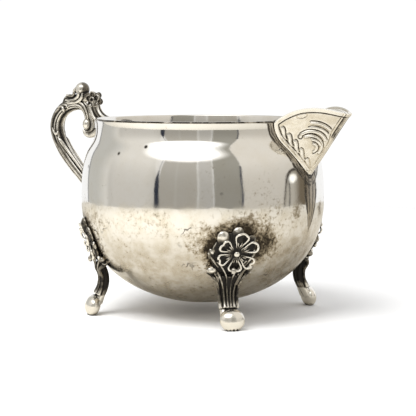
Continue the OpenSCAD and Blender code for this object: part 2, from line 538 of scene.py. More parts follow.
def tarnish_group() -> bpy.types.NodeTree:
    """Brown film, black patches and specks, and a faint bloom on a polished surface.

    Returns:
        A group with inputs Position and Zone, and outputs Brown, Black and Bloom.
    """
    group, shade = new_group("Tarnish", ["Zone"], ["Brown", "Black", "Bloom"])
    source = shade.node("NodeGroupInput")
    spot, zone = source.outputs["Position"], source.outputs["Zone"]
    wide = shade.minus(shade.noise(spot, 75, 4, 0.6), 0.5)
    fine = shade.minus(shade.noise(spot, 640, 6, 0.75), 0.5)
    mottled = shade.scaled(wide, 1.5, shade.times(fine, 2.9))
    raised = shade.plus(mottled, zone)
    film = shade.times(shade.band(zone, 0.45, 1.4), shade.scaled(mottled, 0.4, 0.9))
    brown = shade.math("MAXIMUM", shade.band(raised, 0.35, 1.15), film, clamp=True)
    cells = shade.node("ShaderNodeTexVoronoi", Vector=spot, Scale=150.0)
    core = shade.fading(cells.outputs["Distance"], 0.05, 0.16)
    rare = shade.times(shade.band(shade.noise(spot, 60, 2), 0.56, 0.66), shade.band(zone, -0.4, -0.1))
    black = shade.most(shade.band(raised, 0.9, 1.6), shade.times(core, rare))
    # A dark rim runs along the edge of some patches.
    shore = shade.fading(shade.away(shade.scaled(wide, 2.2, zone), 0.42), 0.012, 0.05)
    dry = shade.times(shade.band(zone, 0.3, 0.5), shade.band(shade.noise(spot, 90, 3), 0.52, 0.64))
    black = shade.most(black, shade.times(shade.times(shore, dry), 0.75))
    bloom = shade.band(shade.noise(spot, 160, 6, 0.65), 0.3, 0.75)
    put_out(shade, {"Brown": brown, "Black": black, "Bloom": bloom})
    return group


def hand_wear_group() -> bpy.types.NodeTree:
    """Fine scratches and dents left by years of handling and polishing.

    Returns:
        A group with the input Position, and outputs Height and Haze.
    """
    group, shade = new_group("Hand wear", [], ["Height", "Haze"])
    spot = shade.node("NodeGroupInput").outputs["Position"]
    lie = shade.node("ShaderNodeMapping", Vector=spot, Rotation=(0.4, 0.9, 0.2), Scale=(1.0, 9.0, 1.0))
    scratches = shade.noise(lie.outputs[0], 260, 3, 0.7)
    dents = shade.scaled(shade.noise(spot, 150, 2, 0.4), 0.12, shade.noise(spot, 42, 2, 0.4))
    height = shade.plus(dents, shade.times(scratches, 0.02))
    put_out(shade, {"Height": height, "Haze": shade.times(shade.noise(spot, 120, 5, 0.6), scratches)})
    return group


def oxide_group() -> bpy.types.NodeTree:
    """Black oxide held in the hollows of a relief, rubbed off its high places.

    Returns:
        A group with inputs Position, Hollow, Depth and Amount, and outputs Black and Rubbed.
    """
    group, shade = new_group("Oxide", ["Hollow", "Depth", "Amount"], ["Black", "Rubbed"])
    source = shade.node("NodeGroupInput")
    spot = source.outputs["Position"]
    grain = shade.minus(shade.noise(spot, 700, 5, 0.65), 0.5)
    uneven = shade.minus(shade.noise(spot, 230, 3, 0.5), 0.5)
    level = shade.plus(source.outputs["Hollow"], shade.times(source.outputs["Depth"], 0.8))
    level = shade.plus(level, shade.times(grain, 0.9))
    level = shade.plus(level, source.outputs["Amount"])
    level = shade.plus(level, shade.times(uneven, 1.1))
    rubbed = shade.band(shade.times(level, -1.0), 0.0, 1.0)
    put_out(shade, {"Black": shade.band(level, -0.05, 0.6), "Rubbed": rubbed})
    return group


@dataclass(frozen=True)
class Finish:
    """A metal finish with its colours and shine.

    Args:
        name: the material's name.
        clean_colour: the metal where it is rubbed bright.
        dull_colour: the metal where it is left alone.
        dark_colour: tarnish or oxide.
        shine: the roughness of clean metal.
        dull_shine: how much rougher tarnish or oxide is.
    """

    name: str
    clean_colour: Colour
    dull_colour: Colour
    dark_colour: Colour
    shine: float
    dull_shine: float

    def start(self) -> tuple[bpy.types.Material, Shader, bpy.types.Node, Socket]:
        """An empty metal material.

        Returns:
            The material, its Shader, its Principled node and the position output.
        """
        material = bpy.data.materials.new(self.name)
        material.use_nodes = True
        shade = Shader(material.node_tree)
        surface = material.node_tree.nodes["Principled BSDF"]
        surface.inputs["Metallic"].default_value = 1.0
        spot = shade.node("ShaderNodeTexCoord").outputs["Object"]
        return material, shade, surface, spot


@dataclass(frozen=True)
class PolishedPlate(Finish):
    """Mirror-bright plate with tarnish in patches low down, round the feet and under the lip, and with
    painted shade along the rim's top, round the V's point and towards the underside.

    Args:
        film_colour: the brown film.
        flood_lines: black lines beside the lip's joint, as distance from it, width and strength; the line at
            0 also paints shade along the rim's top and round the V's point.
        run_lines: the same across the run of solder, with distances as shares of its width.
    """

    film_colour: Colour = (0.34, 0.285, 0.205, 1.0)
    flood_lines: tuple[Point, ...] = ((2.7, 0.75, 0.9), (1.5, 0.45, 0.7), (0.0, 0.8, 0.97))
    run_lines: tuple[Point, ...] = ((0.84, 0.24, 0.92), (0.3, 0.2, 0.7))

    def build(self, tarnish: bpy.types.NodeTree, wear: bpy.types.NodeTree) -> bpy.types.Material:
        """Make the material.

        Args:
            tarnish: the Tarnish group.
            wear: the Hand wear group.

        Returns:
            The material.
        """
        material, shade, surface, spot = self.start()
        zone = shade.value("stain")
        marks = shade.node("ShaderNodeGroup", {"node_tree": tarnish}, Position=spot, Zone=zone)
        used = shade.node("ShaderNodeGroup", {"node_tree": wear}, Position=spot)
        bloom = shade.times(marks.outputs["Bloom"], shade.value("warmth"))
        tint = shade.mix(shade.times(bloom, 0.85), self.clean_colour, self.dull_colour)
        # Browns the plate towards the bottom: partly a film, partly painted shade.
        film_and_shade = shade.times(shade.value("film_and_shade"), shade.scaled(marks.outputs["Bloom"], 0.8, 0.6))
        brown, black = shade.most(marks.outputs["Brown"], film_and_shade), marks.outputs["Black"]
        # Solder flooded a strip beside the lip; its edges have blackened, and a run of it hangs below.
        ragged = shade.minus(shade.noise(spot, 420, 5, 0.7), 0.5)
        flood = shade.scaled(ragged, 1.6, shade.value("joint"))
        run = shade.scaled(ragged, 0.35, shade.value("drip"))
        strip = shade.times(shade.fading(flood, 2.6, 3.4), 0.62)
        brown = shade.most(brown, shade.most(strip, shade.times(shade.fading(run, 0.85, 1.1), 0.9)))
        # The line at the joint also draws painted shade along the rim's top and round the V's point.
        for place, lines in ((flood, self.flood_lines), (run, self.run_lines)):
            for middle, thick, share in lines:
                line = shade.fading(shade.away(place, middle), thick * 0.3, thick)
                broken = shade.times(shade.band(shade.noise(spot, 300, 3), 0.3, 0.5), share)
                black = shade.most(black, shade.times(line, broken))
        tint = shade.mix(brown, tint, self.film_colour)
        dark = shade.most(shade.times(brown, 0.6), black)
        shade.feed(surface.inputs["Base Color"], shade.mix(black, tint, self.dark_colour))
        rough = shade.scaled(dark, self.dull_shine, self.shine)
        rough = shade.scaled(bloom, 0.16, rough)
        rough = shade.scaled(used.outputs["Haze"], 0.05, rough)
        shade.feed(surface.inputs["Roughness"], rough)
        swell = shade.node("ShaderNodeBump", Strength=0.4, Distance=0.0006, Height=used.outputs["Height"])
        shade.feed(surface.inputs["Normal"], swell.outputs[0])
        return material


@dataclass(frozen=True)
class AntiquedMetal(Finish):
    """Relief with black oxide left in its hollows, plus the oxide and painted shade that each piece stores.

    Args:
        amount: how much oxide is left over all.
        grain: the height of the cast grain beside that of the dents.
    """

    amount: float = 0.0
    grain: float = 0.3

    def build(self, oxide: bpy.types.NodeTree, wear: bpy.types.NodeTree) -> bpy.types.Material:
        """Make the material.

        Args:
            oxide: the Oxide group.
            wear: the Hand wear group.

        Returns:
            The material.
        """
        material, shade, surface, spot = self.start()
        # Each piece's stored value adds oxide, and on the lip and the foot's flower painted shade, to the
        # finish's amount.
        amount = shade.plus(shade.value("oxide_and_shade"), self.amount)
        reading = {"Hollow": shade.value("hollow"), "Depth": shade.value("depth"), "Amount": amount}
        coat = shade.node("ShaderNodeGroup", {"node_tree": oxide}, Position=spot, **reading)
        used = shade.node("ShaderNodeGroup", {"node_tree": wear}, Position=spot)
        black = coat.outputs["Black"]
        metal = shade.mix(coat.outputs["Rubbed"], self.dull_colour, self.clean_colour)
        shade.feed(surface.inputs["Base Color"], shade.mix(black, metal, self.dark_colour))
        shade.feed(surface.inputs["Metallic"], shade.scaled(black, -0.6, 1.0))
        rough = shade.scaled(black, self.dull_shine, self.shine)
        rough = shade.scaled(used.outputs["Haze"], 0.2, rough)
        shade.feed(surface.inputs["Roughness"], rough)
        rise = shade.scaled(shade.noise(spot, 1500, 4, 0.6), self.grain, used.outputs["Height"])
        swell = shade.node("ShaderNodeBump", Strength=0.35, Distance=0.0002, Height=rise)
        shade.feed(surface.inputs["Normal"], swell.outputs[0])
        return material


class Slot(Enum):
    """The record's material slots."""

    PLATE = "polished_plate"
    LIP = "embossed_lip"
    CASTING = "antique_casting"
    FLOWER = "blackened_flower"


class Finishes:
    """All the jug's materials, by slot."""

    def __init__(self) -> None:
        """Build the shared groups and one material for each slot."""
        tarnish, wear, oxide = tarnish_group(), hand_wear_group(), oxide_group()
        rubbed = rgb(0.93, 0.905, 0.85)
        plate = PolishedPlate(
            "polished plate", rgb(0.93, 0.92, 0.90), rgb(0.80, 0.74, 0.62), rgb(0.035, 0.028, 0.02), 0.03, 0.3
        )
        worn, lines = rgb(0.70, 0.645, 0.54), rgb(0.045, 0.037, 0.027)
        lip = AntiquedMetal("embossed lip", rgb(0.96, 0.935, 0.88), worn, lines, 0.26, 0.3, -0.42)
        dull, black = rgb(0.22, 0.20, 0.165), rgb(0.012, 0.010, 0.008)
        casting = AntiquedMetal("antique casting", rubbed, dull, black, 0.16, 0.35, 0.4)
        dull, black = rgb(0.18, 0.16, 0.13), rgb(0.010, 0.008, 0.006)
        flower = AntiquedMetal("blackened flower", rubbed, dull, black, 0.16, 0.35, 0.5)
        self.materials = {
            Slot.PLATE: plate.build(tarnish, wear),
            Slot.LIP: lip.build(oxide, wear),
            Slot.CASTING: casting.build(oxide, wear),
            Slot.FLOWER: flower.build(oxide, wear),
        }

    def dress(self, piece: Piece, slot: Slot) -> None:
        """Give a piece its one material.

        Args:
            piece: the mesh object.
            slot: the record's slot.
        """
        piece.data.materials.clear()
        piece.data.materials.append(self.materials[slot])


# ---------------------------------------------------------------- placing


@dataclass
class Frame:
    """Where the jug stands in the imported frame.

    Args:
        finishes: the materials.
        axis_x: where the bowl's axis stands, in millimetres.
    """

    finishes: Finishes
    axis_x: float = field(init=False)

    def __post_init__(self) -> None:
        """Read the bowl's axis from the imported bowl."""
        low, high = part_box("bowl")
        self.axis_x = (low.x + high.x) / 2 / MM

    def seat(self, piece: Piece, name: str, node: str, slot: Slot, turn: float = 0) -> None:
        """Bring a finished piece into the frame and let it stand for a CAD node.

        Args:
            piece: the mesh object, in millimetres about the bowl's axis.
            name: the piece's name.
            node: the CAD node that it replaces.
            slot: the record's material slot.
            turn: degrees about the bowl's axis.
        """
        move = Matrix.Translation((self.axis_x, 0, 0)) @ Matrix.Rotation(math.radians(turn), 4, "Z")
        piece.data.transform(Matrix.Scale(MM, 4) @ move)
        put(piece, np.clip(places(piece), *cad_box))
        piece.name = name
        piece.data.name = name
        pick(piece)
        bpy.ops.object.shade_smooth_by_angle(angle=SMOOTH_ANGLE)
        self.finishes.dress(piece, slot)
        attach(piece, "root")
        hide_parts(node)
        log.info("%s: %d faces, stands for %s", name, len(piece.data.polygons), node)


# ---------------------------------------------------------------- bowl


@dataclass
class Bowl:
    """The spun bowl, cut in a V for the lip.

    Args:
        belly_r: the radius at the widest place.
        belly_z: the height of the widest place.
        bottom_z: the height of the underside.
        neck_r: the radius at the narrowest place.
        neck_z: the height of the narrowest place.
        rim_r: the radius of the rim.
        rim_z: the height of the rim.
        wall: the thickness of the metal.
        point_z: the height of the V's point.
        lip_half: half the V's width at the rim.
        around: steps of the spin.
        bite: how far a soldered piece may reach into the wall.
        leg_top: the height below which the legs stand clear of the wall.
        patches: dark patches beside a front foot, as degrees from it, height, reach and strength.
    """

    belly_r: float = 48
    belly_z: float = 45.5
    bottom_z: float = 3.8
    neck_r: float = 42
    neck_z: float = 73
    rim_r: float = 42.4
    rim_z: float = 76
    wall: float = 1.0
    point_z: float = 55.9
    lip_half: float = 14.7
    around: int = 320
    bite: float = 0.35
    leg_top: float = 14
    patches: tuple[tuple[float, ...], ...] = (
        (17, 33.0, 5.2, 0.75), (-13, 28, 4.2, 0.35), (8, 41.0, 3.4, 0.4),
        (34, 43.0, 3.0, 0.85), (22, 45.5, 3.0, 0.5)
    )

    def outline(self, fine: int = 1) -> np.ndarray:
        """The outside from the bottom to the rim, as rows of radius and height.

        Args:
            fine: how many times finer than the usual number of points.

        Returns:
            The outline's points.
        """
        belly, neck, rim = (self.belly_r, self.belly_z), (self.neck_r, self.neck_z), (self.rim_r, self.rim_z)
        curves = (
            ((0, self.bottom_z), (18.7, self.bottom_z), (self.belly_r, self.belly_z - 32), belly),
            (belly, (self.belly_r, self.belly_z + 23), (self.neck_r, self.neck_z - 8), neck),
            (neck, (self.neck_r, self.neck_z + 1), (self.rim_r - 0.2, self.rim_z - 1), rim),
        )
        runs = [bezier(curve, np.linspace(0, 1, n * fine + 1)) for curve, n in zip(curves, (50, 34, 8))]
        return np.vstack([runs[0], runs[1][1:], runs[2][1:]])

    def radius_at(self, height: np.ndarray) -> np.ndarray:
        """The outside radius at a height."""
        points = self.outline(fine=4)
        return np.interp(height, points[:, 1], points[:, 0])

    def keep_out(self, piece: Piece) -> None:
        """Bring what a soldered piece has inside the bowl back into the wall.

        Args:
            piece: the mesh object, in millimetres about the bowl's axis.
        """
        spots = places(piece)
        reach = np.hypot(spots[:, 0], spots[:, 1])
        wall = self.radius_at(spots[:, 2]) - self.bite
        inside = (spots[:, 2] > self.leg_top) & (reach < wall)
        spots[:, :2] *= np.where(inside, wall / np.maximum(reach, 1e-6), 1)[:, None]
        put(piece, spots)

    def joint(self, v: np.ndarray, inset: float = 0) -> np.ndarray:
        """Half of the V that the lip covers, as rows of y and z.

        Args:
            v: the share of the way from the V's point to the rim.
            inset: how far inside the V's edge.

        Returns:
            One row for each v.
        """
        corners = (
            (0, self.point_z + inset * 2),
            (5 - inset, self.point_z + 2.3 + inset * 1.4),
            (self.lip_half - 2 - inset, self.rim_z - 7.5),
            (self.lip_half - inset, self.rim_z),
        )
        return bezier(corners, v)

    def root(self, v: np.ndarray) -> np.ndarray:
        """Where the V's left edge lies on the bowl's outside.

        Args:
            v: the share of the way from the V's point to the rim.

        Returns:
            Rows of x, y and z.
        """
        edge = self.joint(v)
        reach = np.sqrt(np.maximum(self.radius_at(edge[..., 1]) ** 2 - edge[..., 0] ** 2, 0))
        return np.stack([reach, edge[..., 0], edge[..., 1]], axis=-1)

    def spin(self) -> Piece:
        """The whole wall, spun from its section.

        Returns:
            The closed wall.
        """
        outside = self.outline()
        along = np.gradient(outside, axis=0)
        along /= np.linalg.norm(along, axis=1)[:, None]
        inside = outside + np.stack([-along[:, 1], along[:, 0]], axis=1) * self.wall
        inside[0] = (0, self.bottom_z + self.wall)
        inside = np.maximum(inside, 0)
        middle, half = (outside[-1] + inside[-1]) / 2, (outside[-1] - inside[-1]) / 2
        up = along[-1] * self.wall / 2
        angles = np.linspace(0, math.pi, 9)[1:-1, None]
        edge = middle + half * np.cos(angles) + up * np.sin(angles)
        section = np.vstack([outside, edge, inside[::-1]])
        bpy.ops.object.select_all(action="DESELECT")
        bpy.ops.mesh.primitive_circle_add(vertices=len(section), radius=1, fill_type="NOTHING")
        wall = bpy.context.object
        put(wall, np.stack([section[:, 0], np.zeros(len(section)), section[:, 1]], axis=1))
        with editing(wall):
            bpy.ops.mesh.spin(steps=self.around, angle=2 * math.pi, center=(0, 0, 0), axis=(0, 0, 1))
        return clean(wall)

    def cutter(self) -> Piece:
        """A prism as wide as the V, to cut the wall.

        Returns:
            The closed prism.
        """
        half = self.joint(np.linspace(0, 1, 30), inset=0.6)
        above = np.array([[half[-1, 0], self.rim_z + 5]])
        side = np.vstack([half, above])
        ring = np.vstack([side, side[::-1][:-1] * (-1, 1)])
        bpy.ops.object.select_all(action="DESELECT")
        bpy.ops.mesh.primitive_circle_add(vertices=len(ring), radius=1, fill_type="NGON")
        prism = bpy.context.object
        put(prism, np.stack([np.full(len(ring), 25.0), ring[:, 0], ring[:, 1]], axis=1))
        with editing(prism):
            bpy.ops.mesh.extrude_region_move(TRANSFORM_OT_translate={"value": (50, 0, 0)})
        return clean(prism)

    def stains(self, shell: Piece, feet: Sequence[float]) -> None:
        """Mark where the plate has tarnished, and where shade is painted on it: along the rim's top, round
        the V's point and towards the underside.

        Args:
            shell: the bowl's mesh.
            feet: the feet's turns about the axis, in degrees.
        """
        spots = places(shell)
        outside = np.hypot(spots[:, 0], spots[:, 1]) > self.radius_at(spots[:, 2]) - self.wall / 2
        outside |= spots[:, 2] < self.bottom_z + self.wall / 2
        low = 1 - step(spots[:, 2], 38, 46)
        stain = 0.3 * low + 0.12 * (1 - step(spots[:, 2], 8, 26))
        for turn in feet:
            a = math.radians(turn)
            plate = np.array([46 * math.cos(a), 46 * math.sin(a), 29])
            away = np.linalg.norm((spots - plate) * (1, 1, 0.9), axis=1)
            halo = 0.75 * np.exp(-((np.maximum(away - 8.5, 0)) / 2.2) ** 2)
            stain += halo + 0.62 * np.exp(-(away / 18) ** 2)
            if abs(turn) > 90:
                continue
            for spread, height, reach, share in self.patches:
                b = a - math.copysign(math.radians(spread), turn)
                wall = float(self.radius_at(np.array(height)))
                beside = np.array([wall * math.cos(b), wall * math.sin(b), height])
                away = np.linalg.norm(spots - beside, axis=1)
                stain += share * np.exp(-(away / reach) ** 2)
        seam = self.root(np.linspace(0, 1, 160))
        mirrored = np.abs(spots) * (0, 1, 0) + spots * (1, 0, 1)
        gap = np.linalg.norm(mirrored[:, None, :] - seam[None], axis=2).min(axis=1)
        stain += 0.45 * np.exp(-(gap / 5.0) ** 2)
        width = 0.6 + 4.4 * step(spots[:, 2], 32, 50)
        drip = np.abs(spots[:, 1]) / width + 4 * step(-spots[:, 0], -40, 0)
        drip = drip + 4 * (1 - step(spots[:, 2], 27, 37))
        front = np.exp(-(np.degrees(np.arctan2(spots[:, 1], spots[:, 0])) / 34) ** 2)
        # The outer half of the rim's top gets a joint value of 0.2, so a black line is painted along it:
        # painted shade.
        lip = (spots[:, 2] > self.rim_z - 0.1) & (np.hypot(spots[:, 0], spots[:, 1]) > self.rim_r - 0.3)
        # Near the V's point the joint value is lowered, so the black joint line widens into painted shadow
        # round the point.
        gap -= 1.1 * (1 - step(spots[:, 2], 57, 64))
        # Darker towards the bottom and at the front low down: partly a brown film, partly painted shade of
        # the underside.
        film_and_shade = 0.5 * (1 - step(spots[:, 2], 25, 39)) + 0.32 * front * low
        add_values(shell, "stain", np.where(outside, np.clip(stain, 0, 1.6), INNER_STAIN))
        add_values(shell, "film_and_shade", np.where(outside, film_and_shade, 0.1))
        add_values(shell, "joint", np.where(lip, 0.2, np.where(outside, np.minimum(gap, 9), 9)))
        add_values(shell, "drip", np.where(outside, np.minimum(drip, 9), 9))
        add_values(shell, "warmth", 1 - step(spots[:, 2], self.belly_z - 3, self.belly_z + 3) * 0.75)

    def build(self, where: Frame, feet: Sequence[float]) -> None:
        """Make the bowl and seat it.

        Args:
            where: the frame to seat it in.
            feet: the feet's turns about the axis.
        """
        shell, prism = self.spin(), self.cutter()
        apply_modifier(shell, "BOOLEAN", object=prism, operation="DIFFERENCE", solver="EXACT")
        bpy.data.objects.remove(prism)
        self.stains(shell, feet)
        where.seat(shell, "bowl_shell", "bowl", Slot.PLATE)


# ---------------------------------------------------------------- lip


@dataclass
class PouringLip:
    """Two pressed cheeks that meet at the keel under the stream.

    A cheek's relief is drawn on its own plane: "along" runs up the keel from the V's point,
    and "across" runs from the keel towards the rim.

    Args:
        bowl: what it is soldered to.
        tip: the end of the keel.
        sheet: the thickness of the metal.
        margin: the width of the plain edge.
        rows: faces along the joint.
        columns: faces from the joint to the keel.
        scrolls: each scroll's middle, radius, first and last angle, and strength.
        leaf_hook: the line of a leaf from its foot.
        leaves: the leaves' feet.
    """

    bowl: Bowl
    tip: Point = (64.0, 0.0, 79.4)
    sheet: float = 0.9
    margin: float = 1.6
    rows: int = 200
    columns: int = 190
    scrolls: tuple[tuple[float, ...], ...] = (
        (10.7, 5.9, 2.45, -152, 34, 0.9),
        (10.0, 6.4, 4.55, -48, 32, 1.0),
        (10.6, 6.9, 5.2, -108, 64, 1.2),
        (11.3, 6.8, 6.4, -48, 78, 1.0),
        (12.2, 6.6, 7.05, -34, 50, 0.7),
        (12.6, 6.8, 8.62, -28, 42, 1.2),
    )
    leaf_hook: tuple[Flat, ...] = ((0.1, 0.7), (0, -0.2), (-0.9, -1.1), (-2.1, -1.9), (-3.2, -3.0))
    leaves: tuple[Flat, ...] = ((12.4, 18.9), (11.3, 15.5), (10.4, 12.3), (8.7, 8.8), (6.2, 4.7))

    def surface(self, u: np.ndarray, v: np.ndarray) -> np.ndarray:
        """The outer face of the left cheek before its relief.

        Args:
            u: the share of the way from the joint to the keel.
            v: the share of the way from the V's point to the free edge.

        Returns:
            One row for each pair.
        """
        tip = np.array(self.tip)
        start = self.bowl.root(np.array(0.0))
        corner = self.bowl.root(np.array(1.0))
        free = (corner, (52.4, 12, self.bowl.rim_z + 10.3), (tip[0] - 1, 6.5, tip[2] - 1), tip)
        u_, v_ = u[..., None], v[..., None]
        chord = corner * (1 - u_) + tip * u_
        keel = start * (1 - v_) + tip * v_
        return self.bowl.root(v) * (1 - u_) + keel * u_ + v_ ** 1.2 * (bezier(free, u) - chord)

    def plane(self, spots: np.ndarray) -> tuple[np.ndarray, np.ndarray, np.ndarray]:
        """Places on the cheek's own plane.

        Args:
            spots: points on the left cheek.

        Returns:
            How far along and how far across each one is, and the plane's outward normal.
        """
        start, corner = self.bowl.root(np.array(0.0)), self.bowl.root(np.array(1.0))
        keel = np.array(self.tip) - start
        keel /= np.linalg.norm(keel)
        side = corner - start
        side -= side @ keel * keel
        side /= np.linalg.norm(side)
        return (spots - start) @ keel, (spots - start) @ side, np.cross(side, keel)

    def relief(
        self, along: np.ndarray, across: np.ndarray, joint: np.ndarray, free: np.ndarray
    ) -> np.ndarray:
        """Height of the pressed ornament.

        Args:
            along: place up the keel.
            across: place away from the keel.
            joint: distance from the joint with the bowl.
            free: distance from the free edge.

        Returns:
            The height, in millimetres.
        """
        edge = np.minimum(joint, free)
        height = 0.22 * step(-edge, -self.margin, -self.margin + 0.3)
        height -= 0.2 * ridge(edge - self.margin - 0.12, 0.34) * step(across, 1.0, 2.0)
        # Nested C-scrolls: each is a chased line with a rounded rib along its inner side.
        for middle_a, middle_b, radius, low, high, rise in self.scrolls:
            da, db = along - middle_a, across - middle_b
            away, angle = np.hypot(da, db) - radius, np.degrees(np.arctan2(db, da))
            ends = step(angle, low, low + 9) * (1 - step(angle, high - 9, high))
            height += ends * (0.38 * rise * ridge(away + 0.8, 0.75) - 0.26 * rise * ridge(away, 0.33))
        curl = np.hypot(along - 12.3, across - 12.1)
        height += 0.22 * ridge(curl, 0.6) - 0.2 * ridge(curl - 0.85, 0.3)
        # A row of hooked leaves that climbs beside the joint.
        for foot_a, foot_b in self.leaves:
            hook = [(foot_a + da, foot_b + db) for da, db in self.leaf_hook]
            away = line_distance(hook, along, across)
            height -= 0.24 * ridge(away, 0.34)
            swell = line_distance([(a - 0.75, b + 0.75) for a, b in hook[1:]], along, across)
            height += 0.38 * ridge(swell, 0.9)
        # A small shell under the free edge.
        turned_a, turned_b = (along - 19.7 + across - 15.8) / 1.414, (across - 15.8 - along + 19.7) / 1.414
        height -= 0.12 * ridge(np.hypot(turned_a, turned_b / 1.9) - 1, 0.3)
        # Folds beside the keel.
        far = step(along, 14, 20)
        height -= 0.26 * ridge(across - 2.75 + 1.35 * (1 - far), 0.42) * step(along, 3, 6)
        height -= 0.26 * ridge(across - 1.65, 0.35) * far
        height += 0.2 * ridge(across - 0.7, 0.6)
        return height

    def cheek(self) -> Piece:
        """The left cheek as a closed sheet of metal.

        Returns:
            The sheet with its relief, and with how much oxide and painted shade each place has.
        """
        face = bent_sheet(self.surface, self.rows, self.columns)
        spots = places(face)
        along, across, outward = self.plane(spots)
        steps = np.linspace(0, 1, 160)
        edges = [self.surface(np.zeros(160), steps), self.surface(steps, np.ones(160))]
        joint, free = (np.linalg.norm(spots[:, None] - e[None], axis=2).min(axis=1) for e in edges)
        height = self.relief(along, across, joint, free)
        lap = 0.3 * (1 - step(joint, 0.0, 2.5)) * step(across, 1.0, 4.0)
        height *= 0.2 + 0.8 * step(across, 0.0, 0.7)
        moved = spots + outward * (height + lap)[:, None]
        moved[:, 1] = np.where(across < 0.02, 0.0, moved[:, 1])
        put(face, moved)
        clean(face, reach=1e-3)
        if np.array([p.normal for p in face.data.polygons]).mean(axis=0) @ outward <= 0:
            with editing(face):
                bpy.ops.mesh.flip_normals()
        outer = len(face.data.vertices)
        apply_modifier(face, "SOLIDIFY", thickness=self.sheet, offset=-1)
        spots = places(face)
        spots[:, 1] = np.maximum(spots[:, 1], 0)
        put(face, spots)
        along, across, _ = self.plane(spots)
        joint = np.linalg.norm(spots[:, None] - edges[0][None], axis=2).min(axis=1)
        # Black along the middle of the joint, darker along the keel and round the small shell, painted shade
        # at the tip, and a darker inner face.
        oxide_and_shade = 0.9 * (1 - step(joint, 0.5, 1.5)) * step(across, 7.5, 10) * (1 - step(across, 18, 20))
        oxide_and_shade += 0.75 * (1 - step(across, 1.9, 2.8)) * step(along, 12, 20) + 0.3 * (1 - step(across, 0.4, 1.6))
        tip_shade = 0.3 * np.exp(-(np.hypot(along - 27, across - 5) / 5) ** 2)
        oxide_and_shade += tip_shade + 0.25 * np.exp(-(np.hypot(along - 20, across - 15) / 3) ** 2)
        oxide_and_shade = np.where(np.arange(len(spots)) < outer, np.clip(oxide_and_shade, 0, 1), INNER_LIP_DARKENING)
        add_values(face, "oxide_and_shade", oxide_and_shade)
        return face

    def build(self, where: Frame) -> None:
        """Make both cheeks and seat them.

        Args:
            where: the frame to seat them in.
        """
        left = self.cheek()
        mark_hollows(left)
        pick(left)
        bpy.ops.object.duplicate()
        right = bpy.context.object
        right.data.transform(Matrix.Scale(-1, 4, (0, 1, 0)))
        with editing(right):
            bpy.ops.mesh.flip_normals()
        where.seat(left, "lip_cheek_left_sheet", "lip_cheek_left", Slot.LIP)
        where.seat(right, "lip_cheek_right_sheet", "lip_cheek_right", Slot.LIP)


# ---------------------------------------------------------------- flowers


@dataclass
class Flower:
    """A cast flower of hollow petals with raised rims about a bead, built on z = 0 facing +z.

    Args:
        radius: from the middle to a usual petal's end.
        height: how high the petals' rims stand.
        rim: the radius of a petal's rim.
        eye: the radius of the bead.
        turns: where the petals point, in degrees.
        reaches: their lengths as shares of the radius.
        grain: the size of the skin's faces.
        half_rim: half a petal's rim as shares of the length, the width and the height.
    """

    radius: float = 7.9
    height: float = 1.8
    rim: float = 0.36
    eye: float = 1.2
    turns: tuple[float, ...] = (0, 65, 121, 188, 245, 308)
    reaches: tuple[float, ...] = (1.09, 0.97, 0.93, 0.87, 0.97, 1.06)
    grain: float = 0.18
    half_rim: tuple[Point, ...] = (
        (0.27, 0.06, 0.6), (0.46, 0.15, 0.8), (0.66, 0.25, 1.0), (0.83, 0.285, 1.15), (0.95, 0.16, 1.2)
    )

    def petal(self, reach: float, width: float) -> list[Piece]:
        """The petal towards +y: a raised rim, a sunk floor and two veins.

        Args:
            reach: its length as a share of the flower's radius.
            width: its width as a share of the usual one.

        Returns:
            The petal's parts.
        """
        r, h, w = self.radius * reach, self.height, self.radius * width
        right = [(x * w, y * r, z * h) for y, x, z in self.half_rim]
        tip = [(0.02 * w, (0.9 if reach < 1 else 1.0) * r, 1.05 * h)]
        left = [(-x, y, z) for x, y, z in reversed(right)]
        sizes = [self.rim * k for k in (0.6, 0.75, 0.9, 1.15, 1.35)]
        parts = [rod(right + tip + left, sizes + [self.rim * 1.15] + sizes[::-1], closed=True)]
        parts.append(drop((0, 0.62 * r, 0.0), (0.28 * w, 0.37 * r, 0.62 * h)))
        for side in (-1, 1):
            vein = ((0.02, 0.28, 0.6), (0.07, 0.46, 0.8), (0.1, 0.64, 0.6))
            line = [(side * x * w, y * r, z * h) for x, y, z in vein]
            parts.append(rod(line, [self.rim * 0.7, self.rim * 0.65, self.rim * 0.3]))
        return parts

    def build(self) -> Piece:
        """The whole flower as one casting.

        Returns:
            The flower, black on its floors and bright on its rims.
        """
        parts = []
        for k, (turn, reach) in enumerate(zip(self.turns, self.reaches)):
            made = self.petal(reach, 1.04 - 0.05 * (k % 3))
            pick(*made)
            bpy.ops.object.join()
            bpy.context.object.data.transform(Matrix.Rotation(math.radians(turn), 4, "Z"))
            parts.append(bpy.context.object)
        disc = (0.8 * self.radius, 0.8 * self.radius, 0.5 * self.height)
        parts.append(drop((0, 0, -0.2 * self.height), disc))
        parts.append(drop((0, 0, 0.8 * self.height), (self.eye, self.eye, self.eye * 0.9)))
        casting = fuse(parts, self.grain, 2)
        spots = places(casting)
        oxide_and_shade = 0.75 - 1.5 * step(spots[:, 2], 0.62 * self.height, 1.2 * self.height)
        oxide_and_shade -= 1.2 * (1 - step(np.hypot(spots[:, 0], spots[:, 1]), 0.8, 1.2))
        # The lowest petal is painted darker: painted shade.
        shaded = np.hypot(spots[:, 0] + 0.8, spots[:, 1] + 0.7 * self.radius)
        oxide_and_shade += 0.7 * (1 - step(shaded, 1.0, 3.4))
        add_values(casting, "oxide_and_shade", oxide_and_shade)
        return casting


